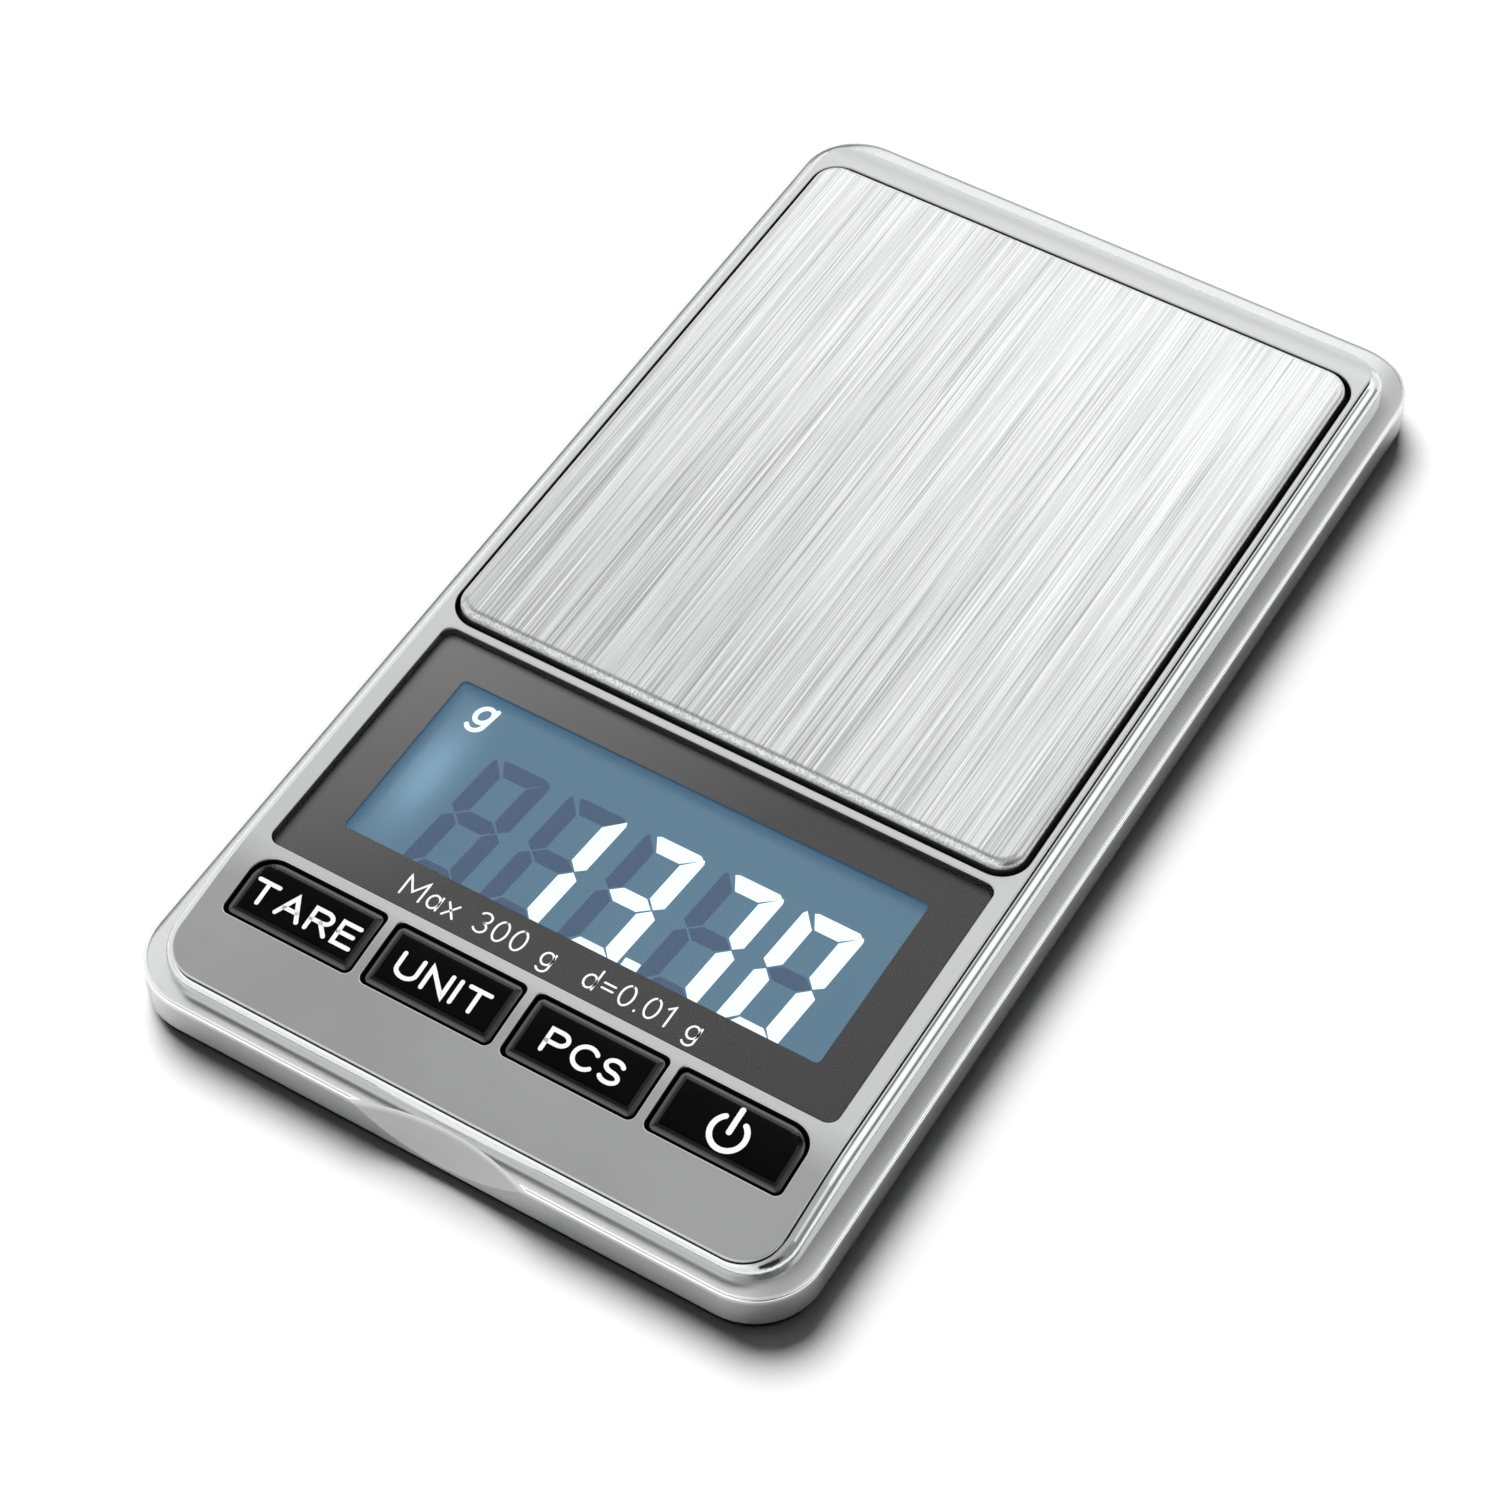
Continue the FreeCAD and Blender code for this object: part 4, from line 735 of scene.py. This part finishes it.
# Distances inside a cap's outline, in millimetres, at which its top has a ring of points.
KEY_INSETS = (0.0, 0.02, 0.05, 0.08, 0.12, 0.2, 0.3, 0.42, 0.55, 0.7, 0.85, 0.95, 1.3, 1.7, 2.1, 2.5, 2.85)
KEY_SIDE_STEPS = 6
FLANGE_TOP, FLANGE_BOTTOM, FLANGE_CORNER = 6.6 * MM, 5.9 * MM, 0.7 * MM
STEM_RADIUS = 1.6 * MM

# Within these distances of its outline a cap has the bevel's polish, then the shoulder's.
BEVEL_ZONE, SHOULDER_ZONE = 0.45 * MM, 0.72 * MM

# The printed legends: how far they lie above the cap, the power mark, and the words.
LEGEND_LIFT, LEGEND_THICKNESS = 0.004 * MM, 0.02 * MM
POWER_RADIUS, POWER_STROKE, POWER_DROP = 1.55 * MM, 0.5 * MM, 0.35 * MM
POWER_ARC_START, POWER_ARC_STOP, POWER_ARC_STEPS = 128, 412, 40
POWER_BAR_FOOT, POWER_BAR_TOP = 0.1 * MM, 2.35 * MM
WORD_DROP, WORD_HEIGHT, WORD_STROKE = 1.25 * MM, 2.05 * MM, 0.4 * MM
WORD_GAP, WORD_SPREAD = 0.42, 1.3


def key_top(y, inset):
    """Height of a key cap's pillowed top at y and at a distance inside its outline."""
    drop = 0.0
    if inset < KEY_BEVEL:
        drop = KEY_BEVEL_DROP * (1 - inset / KEY_BEVEL) ** 2
    if inset < KEY_EDGE:
        drop += KEY_EDGE - math.sqrt(KEY_EDGE ** 2 - (KEY_EDGE - inset) ** 2)
    return face_height(y) - KEY_SINK - drop


def make_cap(name, polishes):
    """A glossy pillowed key cap with its flange and stem."""
    low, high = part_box(f"key_{name}")
    x, y = (low[0] + high[0]) / 2, (low[1] + high[1]) / 2
    radii = [KEY_END_CORNER if name == "power" else KEY_CORNER,
             KEY_END_CORNER if name == "tare" else KEY_CORNER, KEY_CORNER, KEY_CORNER]
    outline = rounded_outline(x, y, KEY_HALF_X, KEY_HALF_Y, radii, side_steps=KEY_SIDE_STEPS)
    rings = [lifted(outline, FLANGE_TOP)]
    for inset in (value * MM for value in KEY_INSETS):
        shrunk = [max(radius - inset, KEY_LEAST_CORNER) for radius in radii]
        outline = rounded_outline(x, y, KEY_HALF_X - inset, KEY_HALF_Y - inset, shrunk,
                                  side_steps=KEY_SIDE_STEPS)
        rings.append(lifted(outline, lambda px, py, inset=inset: key_top(py, inset)))
    cap = Solid()
    cap.stack(rings)
    flange = rounded_outline(x, y, high[0] - x, high[1] - y, [FLANGE_CORNER] * 4)
    slab(cap, flange, FLANGE_BOTTOM, FLANGE_TOP)
    stem = rounded_outline(x, y, STEM_RADIUS, STEM_RADIUS, [STEM_RADIUS] * 4)
    slab(cap, stem, low[2], FLANGE_BOTTOM)
    piece = cap.piece(f"key_cap_{name}", polishes[0], f"{name}_button")
    for polish in polishes[1:]:
        piece.data.materials.append(polish)
    for face in piece.data.polygons:
        middle = face.center
        inset = min(KEY_HALF_X - abs(middle.x - x), KEY_HALF_Y - abs(middle.y - y))
        if inset < SHOULDER_ZONE and middle.z > FLANGE_TOP:
            face.material_index = 2 if inset < BEVEL_ZONE else 1
    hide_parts(f"key_{name}")
    return x, y


def make_legend(name, x, y, white):
    """The power mark or the key's name, printed on the cap whose middle is at x and y."""
    legend = Solid()

    def top(px, py):
        return key_top(py, KEY_BEVEL) + LEGEND_LIFT

    if name == "power":
        centre_y = y - POWER_DROP
        ring = arc(x, centre_y, POWER_RADIUS, POWER_RADIUS, POWER_ARC_START, POWER_ARC_STOP,
                   POWER_ARC_STEPS)
        bar = [(x, centre_y + POWER_BAR_FOOT), (x, centre_y + POWER_BAR_TOP)]
        stroke(legend, ring, POWER_STROKE, top, LEGEND_THICKNESS)
        stroke(legend, bar, POWER_STROKE, top, LEGEND_THICKNESS)
    else:
        write(legend, name.upper(), x, y - WORD_DROP, WORD_HEIGHT, WORD_STROKE, top, LEGEND_THICKNESS,
              gap=WORD_GAP, spread=WORD_SPREAD)
    legend.piece(f"legend_{name}", white, f"{name}_button", smooth=False)


def make_keys():
    """The four key caps and their legends."""
    polishes = (gloss_key("gloss_key", 0.05, 0.0), gloss_key("gloss_key_shoulder", 0.4, 0.15),
                gloss_key("gloss_key_bevel", 0.8, 0.6))
    white = printed_white("legend_white")
    for name in KEY_NAMES:
        x, y = make_cap(name, polishes)
        make_legend(name, x, y, white)


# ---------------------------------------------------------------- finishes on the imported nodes

# Noise and cell scales, in cells per metre.
BOARD_TRACKS, BOARD_HAZE, LAYER_HAZE, PLATING_CLOUD = 260.0, 300.0, 900.0, 200.0
TRACK_DEPTH, LAYER_DEPTH, MARK_DEPTH, MARK_PITCH = 0.03 * MM, 0.01 * MM, 0.01 * MM, 0.35 * MM


def circuit_board():
    """Green solder mask over copper tracks, which show as slightly lighter lines."""
    green = (0.01, 0.09, 0.035)
    shader = Shader("pcb_green", green, roughness=0.35, specular=0.5)
    cells = shader.node("ShaderNodeTexVoronoi", feature="DISTANCE_TO_EDGE")
    cells.inputs["Scale"].default_value = BOARD_TRACKS
    shader.link(shader.place, cells.inputs["Vector"])
    tracks = cells.outputs["Distance"]
    shader.drive("Base Color", shader.ramp(tracks, (0.05, (0.04, 0.2, 0.08)), (0.1, green)))
    shader.drive("Roughness", shader.vary(shader.noise(BOARD_HAZE), 0.3, 0.42))
    shader.bump(tracks, 0.2, TRACK_DEPTH)
    return shader.material


def wave(shader, source, pitch):
    """A sine wave from 0 to 1 over a length."""
    turns = shader.times(source, 2 * math.pi / pitch)
    return shader.remap(shader.math("SINE", turns), -1.0, 1.0, 0.0, 1.0)


def banded(name, first, second, axis, pitch, roughness):
    """Two alternating layers across an axis, as in an elastomer connector."""
    shader = Shader(name, first, roughness=roughness, specular=0.3)
    layers = wave(shader, shader.axis(axis), pitch)
    shader.drive("Base Color", shader.ramp(layers, (0.4, first), (0.6, second)))
    shader.drive("Roughness", shader.vary(shader.noise(LAYER_HAZE), roughness * 0.9, roughness * 1.1))
    shader.bump(layers, 0.2, LAYER_DEPTH)
    return shader.material


def turned(name, colour, roughness, centre_x, centres_y):
    """Plated metal with fine circular marks round the nearest of its centres, which lie along Y."""
    shader = Shader(name, colour, roughness=roughness, metallic=1.0)
    across = shader.minus(shader.axis("X"), centre_x)
    offsets = [shader.math("ABSOLUTE", shader.minus(shader.axis("Y"), centre_y)) for centre_y in centres_y]
    near = offsets[0]
    for other in offsets[1:]:
        near = shader.math("MINIMUM", near, other)
    squares = shader.add(shader.times(across, across), shader.times(near, near))
    marks = wave(shader, shader.math("SQRT", squares), MARK_PITCH)
    cloud = shader.noise(PLATING_CLOUD, 3.0)
    tone = shader.ramp(cloud, (NOISE_LOW, shade(colour, 0.9)), (NOISE_HIGH, colour))
    shader.drive("Base Color", tone)
    shader.drive("Roughness", shader.remap(marks, 0.0, 1.0, roughness * 0.8, roughness * 1.25))
    shader.bump(marks, 0.12, MARK_DEPTH)
    return shader.material


def dress_case():
    """Finishes on the pieces that show from outside."""
    dress(metal("satin_face", grey(0.6, 0.003), 0.32), "face_plate")
    dress(painted_casing(), "lower_casing")
    dress(metal("polished_silver", grey(0.76, 0.004), 0.09, relief=0.01), "bezel_ring")
    dress(brushed_steel(), "weighing_platform")
    dress(moulded("black_abs", grey(0.005), 0.5, specular=0.06), "bottom_cover", "battery_door")
    dress(moulded("black_abs_frame", grey(0.004), 0.6, specular=0.15), "upper_housing")
    dress(window_clear(), "display_window")
    dress(lcd_blue(), "lcd_glass")
    rubber = moulded("foot_rubber", grey(0.02), 0.8, grain=2500.0, relief=0.4, specular=0.2)
    dress(rubber, "rubber_feet")
    zinc = metal("screw_zinc", (0.62, 0.62, 0.6), 0.3, grain=5000.0, relief=0.1)
    dress(zinc, "housing_screws", "pcb_screws", "carrier_screws", "overload_stop")


def dress_works():
    """Finishes on the pieces inside."""
    dress(circuit_board(), "main_pcb")
    dress(moulded("chip_epoxy", grey(0.02), 0.55, grain=9000.0, relief=0.15),
          "controller_chip", "converter_chip")
    dress(metal("tin_plate", (0.72, 0.71, 0.68), 0.28, grain=6000.0, relief=0.06),
          "clock_crystal", "battery_springs", "battery_side_contacts")
    dress(moulded("ceramic_brown", (0.32, 0.2, 0.11), 0.5, grain=9000.0, relief=0.1), "capacitors")
    dress(moulded("switch_plastic", grey(0.03), 0.4, grain=6000.0, relief=0.15), "tact_switches")
    dress(moulded("white_plastic", (0.78, 0.77, 0.73), 0.45, grain=4500.0, relief=0.15),
          "lcd_frame", "backlight_leds", *(f"plunger_{name}" for name in KEY_NAMES))
    dress(moulded("light_guide", (0.7, 0.78, 0.85), 0.25, grain=3000.0, relief=0.1), "lcd_light_guide")
    dress(moulded("black_tape", grey(0.01), 0.7, grain=2500.0, relief=0.2, specular=0.1),
          "window_adhesive")
    dress(banded("zebra_layers", (0.5, 0.42, 0.38), grey(0.03), "X", 0.2 * MM, 0.5), "zebra_strip")
    dress(metal("cell_aluminium", (0.74, 0.74, 0.73), 0.36, grain=5000.0, relief=0.12),
          "load_cell", "load_cell_spacer")
    dress(moulded("white_silicone", (0.82, 0.81, 0.77), 0.6, grain=700.0, relief=0.3), "gauge_sealant")
    dress(moulded("wire_red", (0.5, 0.02, 0.015), 0.4, grain=2500.0, relief=0.1), "battery_wires")
    dress(moulded("wire_white", (0.7, 0.68, 0.62), 0.4, grain=2500.0, relief=0.1), "load_cell_wires")
    dress(metal("screw_black", grey(0.05), 0.4, grain=5000.0, relief=0.1), "load_cell_screws")
    dress(moulded("black_abs_inner", grey(0.014), 0.5), "battery_tray")
    low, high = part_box("coin_cells")
    radius = (high[0] - low[0]) / 2
    nickel = turned("nickel_can", (0.72, 0.7, 0.66), 0.22, (low[0] + high[0]) / 2,
                    (low[1] + radius, high[1] - radius))
    dress(nickel, "coin_cells")
    dress(moulded("grey_abs", grey(0.22), 0.5), "platform_carrier")
    dress(moulded("pad_foam", grey(0.6), 0.85, grain=3500.0, relief=0.5, specular=0.1), "platform_pads")


# ---------------------------------------------------------------- studio

# The key light: where it comes from, how strong it is and its width in degrees.
SUN_FROM, SUN_STRENGTH, SUN_WIDTH = (-0.51, 0.41, 0.84), 4.6, 42.0

FLOOR_SIZE, FLOOR_PATCH = 6.0, 40.0

# The studio's tones: a direction, the value there, and the cosines where it is full and has faded out.
STUDIO_TONES = (
    ((0.95, 0.1, 0.25), 0.3, 0.8, 0.45),
    ((-0.1, 0.72, 0.68), 1.35, 0.99, 0.84),
    ((0.14, 0.55, 0.82), 0.2, 0.995, 0.965),
    ((-0.31, -0.08, 0.95), 0.28, 0.985, 0.94),
    ((-0.33, -0.72, 0.61), 1.25, 0.93, 0.78),
    ((0.52, 0.53, 0.66), 1.3, 0.975, 0.9),
    ((0.67, -0.45, 0.45), 0.03, 0.975, 0.915),
)
# Its value at sines of the height above the horizon, and what share of it the dull surfaces see.
STUDIO_HEIGHTS = ((0.0, 0.95), (0.55, 1.0), (0.7, 0.85), (0.85, 0.62), (1.0, 0.5))
STUDIO_FILL = 0.06

# A long lens, in millimetres, and where the camera is and points.
LENS, SENSOR, CLIP_START = 92.91, 36.0, 0.01
CAMERA_PLACE = (0.10545, -0.19232, 0.27176)
CAMERA_FORWARD, CAMERA_UP = (-0.30896, 0.53199, -0.78838), (-0.40951, 0.67374, 0.61512)


def make_sun():
    """A soft key light from one side; the metal doesn't mirror it."""
    data = bpy.data.lights.new("key_light", "SUN")
    data.energy = SUN_STRENGTH
    data.angle = math.radians(SUN_WIDTH)
    lamp = bpy.data.objects.new("key_light", data)
    bpy.context.scene.collection.objects.link(lamp)
    lamp.rotation_euler = Vector(SUN_FROM).to_track_quat("Z", "Y").to_euler()
    lamp.visible_glossy = False


def make_floor():
    """A plain white table."""
    bpy.ops.mesh.primitive_plane_add(size=FLOOR_SIZE, location=(0, 0, 0))
    floor = bpy.context.object
    floor.name = "floor"
    shader = Shader("floor_white", grey(0.92), roughness=0.9, specular=0.1)
    tone = shader.ramp(shader.noise(FLOOR_PATCH), (NOISE_LOW, grey(0.91)), (NOISE_HIGH, grey(0.93)))
    shader.drive("Base Color", tone)
    floor.data.materials.append(shader.material)


def make_world():
    """A white studio with soft light and dark areas for the metal, and a weak fill for the rest."""
    world = bpy.data.worlds.new("studio")
    world.use_nodes = True
    bpy.context.scene.world = world
    nodes = Nodes(world.node_tree, "Generated")
    level = nodes.ramp(nodes.axis("Z"), *((height, grey(value)) for height, value in STUDIO_HEIGHTS))
    for direction, value, full, faded in STUDIO_TONES:
        dot = nodes.node("ShaderNodeVectorMath", operation="DOT_PRODUCT")
        dot.inputs[1].default_value = Vector(direction).normalized()
        nodes.link(nodes.place, dot.inputs[0])
        mix = nodes.node("ShaderNodeMix", data_type="RGBA")
        under, over = (socket for socket in mix.inputs if socket.type == "RGBA")
        nodes.link(level, under)
        over.default_value = (*grey(value), 1)
        share = nodes.remap(dot.outputs["Value"], faded, full, 0.0, 1.0, smooth=True)
        nodes.link(share, mix.inputs["Factor"])
        level = next(socket for socket in mix.outputs if socket.type == "RGBA")
    background = nodes.tree.nodes["Background"]
    nodes.link(level, background.inputs["Color"])
    dull = nodes.node("ShaderNodeLightPath").outputs["Is Diffuse Ray"]
    nodes.link(nodes.remap(dull, 0.0, 1.0, 1.0, STUDIO_FILL), background.inputs["Strength"])


def make_camera():
    """A long lens from the front right, looking down at about 52 degrees."""
    data = bpy.data.cameras.new("camera")
    data.lens = LENS
    data.sensor_width = SENSOR
    data.clip_start = CLIP_START
    camera = bpy.data.objects.new("camera", data)
    bpy.context.scene.collection.objects.link(camera)
    forward = Vector(CAMERA_FORWARD).normalized()
    right = forward.cross(Vector(CAMERA_UP)).normalized()
    rotation = Matrix((right, right.cross(forward), -forward)).transposed()
    camera.matrix_world = Matrix.Translation(CAMERA_PLACE) @ rotation.to_4x4()
    bpy.context.scene.camera = camera


def make_studio():
    """The table, the light round it, the camera and the key light."""
    make_floor()
    make_world()
    make_camera()
    make_sun()
    bpy.context.scene.view_settings.view_transform = "Standard"


dress_case()
dress_works()
make_digits()
make_window_print()
make_keys()
make_studio()
